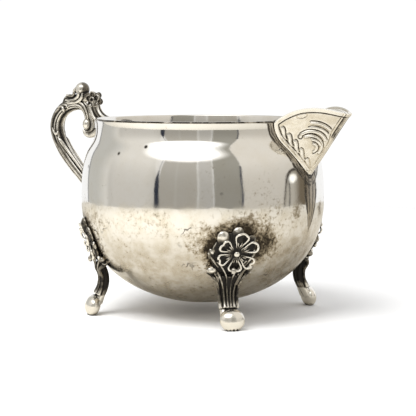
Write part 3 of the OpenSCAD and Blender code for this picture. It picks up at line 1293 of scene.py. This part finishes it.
@dataclass
class Rosette:
    """The small full-blown flower on the handle, built on z = 0 facing +z.

    Args:
        radius: from the middle to a petal's end.
        petals: how many petals.
        grain: the size of the skin's faces.
    """

    radius: float = 3.5
    petals: int = 5
    grain: float = 0.12

    def build(self) -> Piece:
        """The whole rosette as one casting.

        Returns:
            The rosette.
        """
        r = self.radius
        ways = np.linspace(0, 2 * math.pi, 7)[:-1]
        parts = [drop((0, 0, 0.1), (0.78 * r, 0.78 * r, 0.55))]
        for k in range(self.petals):
            a = 2 * math.pi * (k + 0.3) / self.petals
            x, y = math.cos(a), math.sin(a)
            parts.append(drop((0.6 * r * x, 0.6 * r * y, 0.1), (0.37 * r, 0.37 * r, 0.7)))
            cup = []
            for t in ways + a:
                out, across = 0.33 * r * math.cos(t), 0.33 * r * math.sin(t)
                cup.append((0.6 * r * x + out, 0.6 * r * y + across, 0.85 + 0.15 * math.cos(t - a)))
            parts.append(rod(cup, [0.34, 0.3, 0.2, 0.16, 0.2, 0.3], closed=True))
        ring = [(0.27 * r * math.cos(t), 0.27 * r * math.sin(t), 1.35) for t in ways]
        parts.append(rod(ring, [0.34, 0.4, 0.32, 0.4, 0.34, 0.38], closed=True))
        parts.append(drop((0, 0, 0.7), (0.26 * r, 0.26 * r, 0.5)))
        return fuse(parts, self.grain, 1)


# ---------------------------------------------------------------- feet


@dataclass
class Foot:
    """A cast foot: a fluted leg on a ball toe, with shoulder scrolls and leaves on the bowl.

    It is built at the turn 0 with x running out from the bowl's axis.

    Args:
        bowl: what it stands under.
        turns: each foot's turn about the bowl's axis.
        grain: the size of the skin's faces.
        flower_spot: the middle of the flower.
        flower_lean: how far the flower leans, in degrees.
        flower_turn: how far the flower is turned in its plane.
        shift: how far the reeds stand off the middle.
        spine: the core's middle line as x and z.
        reeds: points of one side's reeds clear of the bowl, places on the bowl, and radii.
        leaf_shapes: each leaf's side, height, half width, half length and turn.
        bright_spots: side, height and reach of each place that is rubbed bright.
    """

    bowl: Bowl
    turns: dict[str, float] = field(default_factory=lambda: {
        "front_left": 45, "front_right": -45, "rear_left": 135, "rear_right": -135
    })
    grain: float = 0.2
    flower_spot: Point = (44.8, 1.5, 29.0)
    flower_lean: float = 110
    flower_turn: float = 12
    shift: float = -0.4
    spine: tuple[Flat, ...] = ((43.2, 4.6), (41.2, 8.2), (40.0, 11), (39.6, 14), (40.2, 17), (41.8, 20.5))
    reeds: tuple[tuple[tuple[Point, ...], tuple[Point, ...], tuple[float, ...]], ...] = (
        (
            ((42.5, 3.1, 8.0), (41.3, 3.3, 11.5), (41.1, 3.7, 15), (42.2, 5.0, 18.4)),
            ((6.6, 20.6, 1.3), (7.9, 21.6, 1.1)), (0.8, 0.62, 0.6, 0.66, 0.85, 1.1)
        ),
        (
            ((43.3, 1.7, 8.3), (42.0, 1.75, 11.5), (41.7, 2.1, 15), (42.7, 3.1, 18.6)),
            ((5.2, 22.0, 2.0), (7.6, 23.8, 1.7)), (0.66, 0.4, 0.36, 0.4, 0.5, 0.6)
        ),
        (
            ((43.4, 0.55, 8.3), (42.1, 0.55, 12), (41.9, 0.7, 16), (43.3, 1.3, 20.0)),
            ((3.4, 23.4, 2.1), (5.6, 25.8, 1.9)), (0.6, 0.34, 0.32, 0.34, 0.38, 0.35)
        ),
    )
    leaf_shapes: tuple[tuple[float, ...], ...] = (
        (1.6, 35.4, 2.6, 3.5, -8), (-3.4, 34.2, 2.7, 3.4, 22),
        (6.0, 33.0, 2.2, 3.0, -48), (-7.4, 28.6, 1.3, 2.4, 20)
    )
    bright_spots: tuple[Point, ...] = (
        (-4.3, 35.9, 3.0), (1.2, 38.2, 2.0), (-7.1, 23.1, 1.7), (7.4, 23.4, 1.3), (-7.4, 29.6, 1.2)
    )

    def on_bowl(self, side: float, height: float, proud: float) -> Point:
        """A point that stands off the bowl's wall.

        Args:
            side: how far to the side of the foot's middle.
            height: how high.
            proud: how far off the wall.

        Returns:
            The point.
        """
        reach = math.sqrt(float(self.bowl.radius_at(np.array(height))) ** 2 - side * side)
        return (reach + proud, side, height)

    def leg(self) -> list[Piece]:
        """The core of the leg and the thin reeds down its front.

        Returns:
            The leg's parts.
        """
        parts = []
        for side, radius in ((-2.3, 1.55), (-0.4, 1.9), (1.5, 1.55)):
            parts.append(rod([(x, side, z) for x, z in self.spine], [radius] * len(self.spine)))
        for side in (-1, 1):
            for free, laid, radii in self.reeds:
                line = [(x, self.shift + side * y, z) for x, y, z in free]
                line += [self.on_bowl(side * y, z, proud) for y, z, proud in laid]
                parts.append(rod(line, radii))
        parts.append(drop(self.on_bowl(-6.9, 22.4, 1.5), (1.7, 2.2, 1.5)))
        parts.append(drop(self.on_bowl(7.2, 22.8, 1.0), (1.4, 1.9, 1.3)))
        parts.append(drop((45.3, 0.5, 22.2), (1.0, 1.0, 1.3)))
        return parts

    def toe(self) -> list[Piece]:
        """The polished ball, flat where it stands, and the heel behind it.

        Returns:
            The parts.
        """
        ball = drop((44.5, 0.35, 3.75), (3.0, 4.75, 4.25), lean=-12)
        heel = rod([(41.0, 0, 8.5), (42.6, 0, 4.6)], [1.8, 2.0])
        return [ball, heel]

    def leaves(self) -> list[Piece]:
        """The plate behind the flower and the leaves that frame it.

        Returns:
            The parts.
        """
        parts = [
            drop(self.on_bowl(0, 28.6, 0.0), (1.1, 7.8, 8.6), lean=21),
            drop(self.on_bowl(0, 23.5, 0.2), (1.3, 7.0, 4.0), lean=26),
        ]
        for side, height, width, rise, turn in self.leaf_shapes:
            lean, bulge = (12, 1.5) if height > 34 else (18, 1.1)
            parts.append(drop(self.on_bowl(side, height, 0.4), (bulge, width, rise), lean=lean, turn=turn))
        for side in (-1, 1):
            stem = ((4.8, 23.6, 1.9), (7.0, 26.4, 1.8), (9.0, 29.2, 1.2))
            parts.append(rod([self.on_bowl(side * y, z, proud) for y, z, proud in stem], [0.35, 0.5, 0.3]))
            parts.append(drop(self.on_bowl(side * 8.2, 28.4, 0.9), (0.8, 0.8, 1.7), lean=18, turn=-side * 8))
        return parts

    def polish_toe(self, casting: Piece) -> None:
        """Mark the ball and the leaves' tips as rubbed bright, and the leg as black.

        Args:
            casting: the foot's mesh.
        """
        spots = places(casting)
        bright = -1.4 * (1 - step(spots[:, 2], 7.0, 8.2)) * step(spots[:, 2], 0.2, 0.9)
        for side, height, reach in self.bright_spots:
            leaf = np.hypot(spots[:, 1] - side, spots[:, 2] - height)
            bright -= 1.7 * (1 - step(leaf, 0.3 * reach, reach))
        leg = 0.45 * step(spots[:, 2], 10, 11.5) * (1 - step(spots[:, 2], 18, 22))
        bright += 0.65 * step(spots[:, 2], 9.2, 10.5) + leg
        chips = np.sin(2.3 * spots[:, 0] + 4.1 * spots[:, 1]) + np.sin(5.2 * spots[:, 1] - 1.0)
        bright += 2.2 * step(chips, 0.1, 0.6) * (1 - step(spots[:, 2], 0.5, 1.5))
        add_values(casting, "oxide_and_shade", bright)

    def build(self, where: Frame) -> None:
        """Make one foot and one flower, and seat them at every turn.

        Args:
            where: the frame to seat them in.
        """
        casting = fuse(self.leg() + self.toe() + self.leaves(), self.grain, 1)
        mark_hollows(casting)
        self.polish_toe(casting)
        spots = places(casting)
        spots[:, 2] = np.maximum(spots[:, 2], 0)
        put(casting, spots)
        self.bowl.keep_out(casting)
        flower = Flower().build()
        mark_hollows(flower)
        lie = Matrix.Translation(self.flower_spot) @ Matrix.Rotation(math.radians(self.flower_lean), 4, "Y")
        flower.data.transform(lie @ Matrix.Rotation(math.radians(90 - self.flower_turn), 4, "Z"))
        self.bowl.keep_out(flower)
        for name, turn in self.turns.items():
            for made, kind, slot in ((casting, "foot", Slot.CASTING), (flower, "flower", Slot.FLOWER)):
                pick(made)
                bpy.ops.object.duplicate()
                where.seat(bpy.context.object, f"{kind}_{name}_casting", f"{kind}_{name}", slot, turn)
        for made in (casting, flower):
            bpy.data.objects.remove(made)


# ---------------------------------------------------------------- handle


@dataclass
class Handle:
    """The scroll handle, in the plane through the bowl's axis, on the side away from the lip.

    Args:
        bowl: what it is soldered to.
        back_x: where the loop's middle line is farthest back.
        middle_z: the height of that place.
        arch_z: the height of the loop's middle line at its top.
        grain: the size of the skins' faces.
        loop_grain: the size of the loop's faces.
        flower_spot: the middle of the left flower.
        ornaments: rods on the loop's flank as height, angle and lift, their radii, and on which part.
        hooks: the crest's scrolls on its left side, and their radii.
        arm_strands: the arm's strands on its left side, and their radii.
        bright_spots: x, z, reach and strength of each place that hands have kept bright.
    """

    bowl: Bowl
    back_x: float = -72.0
    middle_z: float = 71.5
    arch_z: float = 81.4
    grain: float = 0.18
    loop_grain: float = 0.17
    flower_spot: Point = (-52.7, 0.35, 83.3)
    ornaments: tuple[tuple[tuple[Point, ...], tuple[float, ...], bool], ...] = (
        (((71.4, -14, 0.0), (69.8, 2, 0.15), (68.5, 20, 0.2), (69.4, 38, 0.0)), (0.3, 0.5, 0.55, 0.3), False),
        (
            ((67.0, 24, 0.0), (65.4, 33, 0.15), (62.5, 43, 0.15), (58.0, 51, 0.1), (52.5, 53, 0.0)),
            (0.3, 0.7, 0.75, 0.6, 0.4), False
        ),
        (
            ((78.4, -38, 0.0), (79.6, -16, 0.2), (79.8, 14, 0.25), (79.2, 36, 0.0)),
            (0.35, 0.6, 0.6, 0.35), True
        ),
        (((79.8, -30, 0.0), (80.6, -4, 0.2), (80.7, 24, 0.1)), (0.3, 0.5, 0.35), True),
    )
    hooks: tuple[tuple[tuple[Point, ...], tuple[float, ...]], ...] = (
        (
            (
                (-66.4, 0.9, 85.2), (-63.8, 1.2, 84.7), (-62.2, 1.5, 85.3),
                (-61.8, 1.7, 87.0), (-60.8, 1.9, 88.2)
            ),
            (0.4, 0.6, 0.65, 0.6, 0.35)
        ),
        (
            (
                (-66.6, 1.3, 82.9), (-63.4, 1.7, 82.8), (-60.7, 2.1, 83.5),
                (-59.1, 2.3, 85.3), (-59.3, 2.4, 86.9), (-60.4, 2.2, 87.3)
            ),
            (0.45, 0.7, 0.75, 0.7, 0.55, 0.4)
        ),
        (
            (
                (-68.6, 1.2, 80.8), (-65.8, 1.7, 81.2), (-63.0, 2.0, 81.9),
                (-59.9, 2.1, 82.4), (-57.7, 2.2, 84.0), (-57.2, 2.2, 86.0)
            ),
            (0.35, 0.6, 0.65, 0.7, 0.65, 0.35)
        ),
    )
    arm_strands: tuple[tuple[tuple[Point, ...], tuple[float, ...]], ...] = (
        (
            (
                (-54.2, 0.8, 81.2), (-53.2, 1.2, 78.2), (-51.2, 1.6, 75.4),
                (-47.8, 2.3, 73.4), (-43.6, 3.2, 72.8)
            ),
            (0.7, 0.75, 0.8, 0.85, 0.9)
        ),
        (
            (
                (-51.0, 0.6, 81.8), (-50.5, 0.8, 79.6), (-49.1, 1.0, 77.5),
                (-46.9, 1.3, 76.1), (-43.4, 1.9, 75.4)
            ),
            (0.6, 0.6, 0.6, 0.6, 0.6)
        ),
    )
    bright_spots: tuple[tuple[float, ...], ...] = (
        (-59.6, 87.8, 3.4, 1.3), (-56.4, 73.3, 1.9, 1.0), (-56.6, 69.2, 1.8, 0.6), (-66.5, 84.2, 1.8, 0.5)
    )

    def loop_line(self, t: np.ndarray) -> tuple[np.ndarray, np.ndarray]:
        """The middle line of the loop.

        Args:
            t: the share of the way from the foot of the loop to the volute.

        Returns:
            The points as rows of x and z, and half the loop's thickness there.
        """
        back, arch = (self.back_x, self.middle_z), (-61, self.arch_z)
        lower = ((-46.6, 39.4), (-54.4, 48), (self.back_x, self.middle_z - 10), back)
        upper = (back, (self.back_x, self.middle_z + 6), (-66.5, self.arch_z), arch)
        curl = (arch, (-58, self.arch_z), (-55.8, 78.5), (-56.3, 74.2))
        ends = (0.0, 0.54, 0.8, 1.0)
        points = np.zeros((len(t), 2))
        for k, line in enumerate((lower, upper, curl)):
            here = (t >= ends[k]) & (t <= ends[k + 1])
            points[here] = bezier(line, (t[here] - ends[k]) / (ends[k + 1] - ends[k]))
        stations = (0, 0.15, 0.4, 0.56, 0.7, 0.8, 0.9, 1.0)
        return points, np.interp(t, stations, (2.2, 2.45, 3.0, 3.2, 2.85, 2.5, 1.9, 1.15))

    def on_loop(self, height: float, angle: float, side: int, proud: float, upper: bool = False) -> Point:
        """A point on the loop's skin.

        Args:
            height: how high the loop's middle line is there.
            angle: 0 on the flank of the loop, 90 on the inside of its bend, -90 on its back.
            side: 1 for the left flank, -1 for the right.
            proud: how far off the skin.
            upper: takes the rising part of the arch instead of the long lower part.

        Returns:
            The point.
        """
        t = np.linspace(0.54, 0.78, 120) if upper else np.linspace(0, 0.54, 240)
        line, size = self.loop_line(t)
        k = int(np.abs(line[:, 1] - height).argmin())
        way = line[min(k + 1, len(t) - 1)] - line[max(k - 1, 0)]
        way /= np.linalg.norm(way)
        reach = float(size[k]) * self.reed(np.array(angle), np.array(t[k])) + proud
        out, across = -math.sin(math.radians(angle)) * reach, side * math.cos(math.radians(angle)) * reach
        return (line[k, 0] - way[1] * out, across, line[k, 1] + way[0] * out)

    def reed(self, angle: np.ndarray, t: np.ndarray) -> np.ndarray:
        """How the grooves cut into the loop's round section.

        Args:
            angle: degrees round the section, as in on_loop.
            t: the share of the way along the loop.

        Returns:
            The radius as a share of the loop's size.
        """
        high = 0.2 * ridge(angle + 54, 15) + 0.2 * ridge(angle + 8, 17) + 0.14 * ridge(angle - 21, 6)
        high += 0.26 * ridge(angle - 60, 26)
        low = 0.15 * ridge(angle + 30, 10) + 0.08 * ridge(angle - 8, 8)
        low = low + 0.2 * ridge(angle - 37, 10) + 0.17 * ridge(angle - 69, 9)
        part = step(t, 0.38, 0.46)
        return 1 - part * high - (1 - part) * low

    def loop(self) -> Piece:
        """The reeded loop, with grooves that run its whole length on both sides.

        Returns:
            The loop.
        """
        fine = np.linspace(0, 1, 400)
        line, _ = self.loop_line(fine)
        tangent = np.gradient(line, axis=0)
        tangent /= np.linalg.norm(tangent, axis=1)[:, None]

        def place(u: np.ndarray, v: np.ndarray) -> np.ndarray:
            """Points on the loop's skin.

            Args:
                u: the share of the way round.
                v: the share of the way along.

            Returns:
                One row for each pair.
            """
            points, size = self.loop_line(v)
            tx, tz = np.interp(v, fine, tangent[:, 0]), np.interp(v, fine, tangent[:, 1])
            around = u * 2 * math.pi
            angle = np.degrees(np.arcsin(np.clip(-np.cos(around), -1, 1)))
            radius = size * self.reed(angle, v)
            closed = np.sqrt(np.clip(1 - np.clip((v - 0.985) / 0.015, 0, 1) ** 2, 0, 1))
            closed *= np.sqrt(np.clip(1 - np.clip((0.01 - v) / 0.01, 0, 1) ** 2, 0, 1))
            out, across = np.cos(around) * radius * closed, np.sin(around) * radius * closed
            return np.stack([points[:, 0] - tz * out, across, points[:, 1] + tx * out], axis=1)

        parts = [clean(bent_sheet(place, 420, 120), reach=2e-3)]
        for side in (-1, 1):
            for line, radii, upper in self.ornaments:
                parts.append(rod([self.on_loop(z, turn, side, off, upper) for z, turn, off in line], radii))
        return fuse(parts, self.loop_grain, 1)

    def pair(self, rods: Sequence[tuple[Sequence[Point], Sequence[float]]], side: int) -> list[Piece]:
        """Rods on one side of the handle.

        Args:
            rods: points on the left side, and radii.
            side: 1 for the left side, -1 for the right.

        Returns:
            The rods.
        """
        return [rod([(x, side * y, z) for x, y, z in line], radii) for line, radii in rods]

    def crest(self) -> Piece:
        """The leaf that hooks round the scroll's eye, and the bulb that stands above it.

        Returns:
            The crest.
        """
        parts = [
            rod(
                ((-69.2, 0, 80.4), (-66.4, 0, 82.8), (-62.8, 0, 83.2), (-59.8, 0, 84.6)), (0.9, 1.3, 1.5, 1.6)
            ),
            rod([(-68.8, 0, 82.0), (-66.7, 0, 84.1), (-64.0, 0, 83.9)], [0.5, 0.95, 0.9]),
            drop((-58.8, 0, 87.5), (3.1, 2.9, 3.0)),
            drop((-57.6, 0, 84.6), (2.3, 1.9, 2.8)),
        ]
        for side in (-1, 1):
            parts += self.pair(self.hooks, side)
        return fuse(parts, self.grain, 1)

    def arm(self) -> Piece:
        """The arm from the head of the handle down to the rim, spread where it is soldered.

        Returns:
            The arm.
        """
        spine = [(-52.4, 0, 83.0), (-51.9, 0, 80.0), (-50.4, 0, 77.2), (-47.6, 0, 75.0), (-43.5, 0, 74.3)]
        parts = [rod(spine, [1.7, 1.5, 1.5, 1.45, 1.5])]
        for side in (-1, 1):
            parts += self.pair(self.arm_strands, side)
        parts.append(drop((-53.6, 0, 83.6), (2.6, 0.9, 2.6)))
        parts.append(drop((-44.2, 0, 73.6), (1.5, 3.2, 2.0)))
        return fuse(parts, self.grain, 1)

    def volute(self) -> Piece:
        """The bead in the curl and the tongue under it that reaches the neck.

        Returns:
            The volute.
        """
        parts = [drop((-56.1, 0, 73.1), (2.1, 2.5, 2.6))]
        hood = [(-54.9, 0, 77.4), (-53.9, 0, 74.6), (-53.6, 0, 71.8), (-54.8, 0, 70.0), (-56.8, 0, 69.8)]
        parts.append(rod(hood, [0.9, 1.0, 1.05, 1.1, 0.9]))
        tongue = (
            (-58.4, 70.9), (-57.4, 69.4), (-55.4, 68.6), (-52.9, 69.2),
            (-50.2, 71.2), (-46.4, 72.2), (-43.2, 72.0)
        )
        parts.append(rod([(x, 0, z) for x, z in tongue], [0.5, 1.0, 1.3, 1.35, 1.3, 1.3, 1.5]))
        return fuse(parts, self.grain, 1)

    def rub(self, casting: Piece) -> None:
        """Mark the places that hands have kept bright, and the back of the loop that stays dark.

        Args:
            casting: a piece of the handle.
        """
        spots = places(casting)
        oxide_and_shade = np.full(len(spots), -0.3)
        for x, z, reach, share in self.bright_spots:
            away = np.hypot(spots[:, 0] - x, spots[:, 2] - z)
            oxide_and_shade -= share * (1 - step(away, 0.5 * reach, reach))
        back = np.hypot(spots[:, 0] + 56, (spots[:, 2] - 70) * 1.1)
        oxide_and_shade += 0.55 * step(back, 16.2, 18) * step(spots[:, 2], 62, 68)
        add_values(casting, "oxide_and_shade", oxide_and_shade)

    def build(self, where: Frame) -> None:
        """Make the handle's pieces and seat them.

        Args:
            where: the frame to seat them in.
        """
        for part in ("loop", "crest", "arm", "volute"):
            casting = getattr(self, part)()
            mark_hollows(casting)
            self.rub(casting)
            if part == "loop":
                self.bowl.keep_out(casting)
            where.seat(casting, f"handle_{part}_casting", f"handle_{part}", Slot.CASTING)
        flower = Rosette().build()
        mark_hollows(flower)
        for side, name in ((1, "left"), (-1, "right")):
            pick(flower)
            bpy.ops.object.duplicate()
            copy = bpy.context.object
            face = Matrix.Rotation(math.radians(-side * 90), 4, "X")
            x, y, z = self.flower_spot
            copy.data.transform(Matrix.Translation((x, side * y, z)) @ face)
            where.seat(copy, f"handle_flower_{name}_casting", f"handle_flower_{name}", Slot.FLOWER)
        bpy.data.objects.remove(flower)


# ---------------------------------------------------------------- studio


@dataclass
class Studio:
    """A round pale table in a white tent, a grey room beyond the camera, and one soft light.

    Args:
        axis_x: where the bowl's axis stands.
        camera_distance: from the bowl's axis, level.
        camera_turn: the camera's place round the axis, in degrees.
        camera_height: above the table.
        camera_dip: how far it looks down.
        camera_swing: how far it looks past the axis.
        focal: the lens's focal length.
        sensor: the sensor's width.
        table_r: the table's radius.
        floor_edge: how far down the room reaches, in degrees.
    """

    axis_x: float
    camera_distance: float = 513.7
    camera_turn: float = -58.65
    camera_height: float = 93.85
    camera_dip: float = 5.89
    camera_swing: float = -0.23
    focal: float = 112.4
    sensor: float = 36.0
    table_r: float = 430.0
    floor_edge: float = -60

    def camera(self) -> None:
        """Set up the camera."""
        a = math.radians(self.camera_turn)
        x, y = self.axis_x + self.camera_distance * math.cos(a), self.camera_distance * math.sin(a)
        spot = Vector((x, y, self.camera_height)) * MM
        heading = a + math.pi + math.radians(self.camera_swing)
        dip = math.radians(self.camera_dip)
        look = Vector((math.cos(heading) * math.cos(dip), math.sin(heading) * math.cos(dip), -math.sin(dip)))
        bpy.ops.object.camera_add(location=spot, rotation=look.to_track_quat("-Z", "Y").to_euler())
        eye = bpy.context.object
        eye.data.lens = self.focal
        eye.data.sensor_width = self.sensor
        eye.data.clip_start = 0.01
        bpy.context.scene.camera = eye

    def table(self) -> None:
        """The round pale table top."""
        bpy.ops.object.select_all(action="DESELECT")
        middle = (self.axis_x * MM, 0, 0)
        bpy.ops.mesh.primitive_circle_add(
            vertices=128, radius=self.table_r * MM, fill_type="NGON", location=middle
        )
        top = bpy.context.object
        top.name = "table_top"
        bpy.ops.object.transform_apply(location=True, rotation=True, scale=True)
        material = bpy.data.materials.new("pale table")
        material.use_nodes = True
        shade = Shader(material.node_tree)
        surface = material.node_tree.nodes["Principled BSDF"]
        surface.inputs["Roughness"].default_value = 0.9
        surface.inputs["Specular IOR Level"].default_value = 0.1
        seen = shade.node("ShaderNodeLightPath").outputs["Is Camera Ray"]
        # Rays other than the camera's see a darker cream table: painted shade in its reflection on the metal
        # and in the light it bounces.
        shade.feed(surface.inputs["Base Color"], shade.mix(seen, rgb(0.68, 0.645, 0.57), PALE))
        top.data.materials.append(material)

    def room(self, shade: Shader, azimuth: Socket, height: Socket) -> Socket:
        """The grey room that the metal reflects.

        Args:
            shade: builds in the world's tree.
            azimuth: degrees round from the camera's side.
            height: degrees above the horizon.

        Returns:
            The room's colour.
        """

        def between(value: object, low: float, high: float, soft: float) -> Socket:
            """A band that is 1 between low and high."""
            rise = shade.band(value, low - soft, low + soft)
            return shade.minus(rise, shade.band(value, high - soft, high + soft))

        colour = PALE
        lean = shade.scaled(height, 0.3, azimuth)
        for way, low, high, top, soft, paint in (
            (lean, -137, -41, 88, 1.0, rgb(0.54, 0.53, 0.49)),
            (lean, -138.5, -136, 88, 0.6, rgb(0.30, 0.30, 0.30)),
            (azimuth, -104, -41, 88, 16, rgb(0.80, 0.77, 0.71)),
            (azimuth, -41, 12, 88, 0.7, rgb(0.49, 0.465, 0.415)),
            (azimuth, -26, -24, 50, 0.7, rgb(0.52, 0.50, 0.45)),
            (azimuth, -4, 9, 60, 0.6, rgb(0.56, 0.54, 0.50)),
            (azimuth, -6, -4, 60, 0.6, rgb(0.72, 0.71, 0.67)),
            (azimuth, 9, 10.5, 60, 0.6, rgb(0.78, 0.77, 0.74)),
            (azimuth, 10.5, 37.5, 88, 0.7, rgb(0.36, 0.345, 0.30)),
            (azimuth, 37.5, 118, 88, 0.8, rgb(0.78, 0.735, 0.655)),
        ):
            mask = shade.times(between(way, low, high, soft), between(height, self.floor_edge, top, 1))
            colour = shade.mix(mask, colour, paint)
        low_wall = shade.times(shade.fading(height, -4, 34), between(azimuth, -100, 118, 4))
        colour = shade.mix(shade.times(low_wall, 0.32), colour, rgb(0.12, 0.11, 0.09))
        # A door frame: a dark upright that narrows as it rises, and a second one to its right.
        upright = shade.math("ABSOLUTE", shade.plus(azimuth, 42.8))
        upright = shade.plus(upright, shade.times(shade.band(height, 2, 20), 2.1))
        upright = shade.times(shade.fading(upright, 1.8, 2.9), shade.fading(height, 45, 60))
        colour = shade.mix(upright, colour, rgb(0.03, 0.035, 0.05))
        bar = shade.times(between(azimuth, 36.2, 38.0, 0.4), between(height, self.floor_edge, 24, 0.4))
        colour = shade.mix(bar, colour, rgb(0.05, 0.055, 0.07))
        return shade.mix(shade.band(height, 62, 80), colour, rgb(0.66, 0.64, 0.60))

    def vessel(self, shade: Shader, azimuth: Socket, height: Socket, colour: Socket) -> Socket:
        """A round-shouldered vessel that stands to the right, in shadow on its far side.

        Args:
            shade: builds in the world's tree.
            azimuth: degrees round from the camera's side.
            height: degrees above the horizon.
            colour: what is behind it.

        Returns:
            The colour with the vessel in it.
        """
        side = shade.math("DIVIDE", shade.minus(azimuth, 98), 18.5)
        top = shade.math("DIVIDE", shade.plus(height, 30), 41)
        side = shade.math("POWER", shade.math("ABSOLUTE", side), 3.0)
        rim = shade.plus(side, shade.math("POWER", shade.math("ABSOLUTE", top), 4.0))
        body = shade.mix(shade.band(azimuth, 91, 104), rgb(0.46, 0.43, 0.37), rgb(0.16, 0.13, 0.09))
        streak = shade.minus(shade.band(azimuth, 86.0, 87.0), shade.band(azimuth, 87.5, 88.5))
        body = shade.mix(streak, body, rgb(0.07, 0.065, 0.06))
        colour = shade.mix(shade.fading(rim, 0.98, 1.04), colour, rgb(0.07, 0.06, 0.05))
        return shade.mix(shade.fading(rim, 0.72, 0.84), colour, body)

    def lamps(self, shade: Shader, azimuth: Socket, height: Socket, colour: Socket) -> Socket:
        """The oval lamp, and a glint on the vessel.

        Args:
            shade: builds in the world's tree.
            azimuth: degrees round from the camera's side.
            height: degrees above the horizon.
            colour: what is behind them.

        Returns:
            The colour with the lamps in it.
        """
        across = shade.math("DIVIDE", shade.plus(azimuth, 23), 54)
        raised = shade.math("DIVIDE", shade.minus(height, 50), 18)
        oval = shade.plus(shade.math("POWER", across, 2.0), shade.math("POWER", raised, 2.0))
        colour = shade.mix(shade.fading(oval, 0.0, 1.25), colour, rgb(2.4, 2.38, 2.34))
        across = shade.scaled(azimuth, 0.8, -92.5 * 0.8)
        raised = shade.scaled(height, 1.9, -4.5 * 1.9)
        oval = shade.plus(shade.math("POWER", across, 2.0), shade.math("POWER", raised, 2.0))
        return shade.mix(shade.fading(oval, 3, 30), colour, rgb(1.3, 1.28, 1.2))

    def world(self) -> None:
        """White all round for the camera, and a tent with a grey room in it for the metal."""
        world = bpy.data.worlds.new("tent")
        bpy.context.scene.world = world
        world.use_nodes = True
        shade = Shader(world.node_tree)
        world.node_tree.nodes.clear()
        way = shade.node("ShaderNodeTexCoord").outputs["Generated"]
        turn, about_z = math.radians(-self.camera_turn), {"rotation_type": "Z_AXIS"}
        turned = shade.node("ShaderNodeVectorRotate", about_z, Vector=way, Angle=turn)
        split = shade.node("ShaderNodeSeparateXYZ", Vector=turned.outputs[0])
        azimuth = shade.math("ARCTAN2", split.outputs["Y"], split.outputs["X"])
        azimuth = shade.times(azimuth, 180 / math.pi)
        height = shade.times(shade.math("ARCSINE", split.outputs["Z"]), 180 / math.pi)
        colour = self.room(shade, azimuth, height)
        colour = self.vessel(shade, azimuth, height, colour)
        colour = self.lamps(shade, azimuth, height, colour)
        path = shade.node("ShaderNodeLightPath")
        lit = shade.node("ShaderNodeBackground", Color=WHITE, Strength=0.85)
        for ray, paint, strength in (("Is Glossy Ray", colour, 1.0), ("Is Camera Ray", WHITE, 1.05)):
            other = shade.node("ShaderNodeBackground", Color=paint, Strength=strength)
            both = shade.node("ShaderNodeMixShader")
            for socket, value in zip(both.inputs, (path.outputs[ray], lit.outputs[0], other.outputs[0])):
                shade.feed(socket, value)
            lit = both
        shade.node("ShaderNodeOutputWorld", Surface=lit.outputs[0])

    def light(self) -> None:
        """One large soft light overhead, a little to the left of the camera."""
        spot = Vector((self.axis_x - 60, -220, 420)) * MM
        aim = Vector((self.axis_x, 0, 30)) * MM - spot
        bpy.ops.object.light_add(type="AREA", location=spot, rotation=aim.to_track_quat("-Z", "Y").to_euler())
        lamp = bpy.context.object
        lamp.data.size = 0.3
        lamp.data.energy = 2.2
        lamp.visible_glossy = False

    def build(self) -> None:
        """Set the scene round the jug."""
        self.camera()
        self.table()
        self.world()
        self.light()
        bpy.context.scene.view_settings.view_transform = "Standard"
        log.info("studio: table %.0f mm across", 2 * self.table_r)


def main() -> None:
    """Build the jug piece by piece, then the studio."""
    logging.basicConfig(level=logging.INFO, format="%(message)s")
    where = Frame(Finishes())
    bowl = Bowl()
    feet = Foot(bowl)
    bowl.build(where, list(feet.turns.values()))
    PouringLip(bowl).build(where)
    feet.build(where)
    Handle(bowl).build(where)
    Studio(where.axis_x).build()


if __name__ == "__main__":
    main()
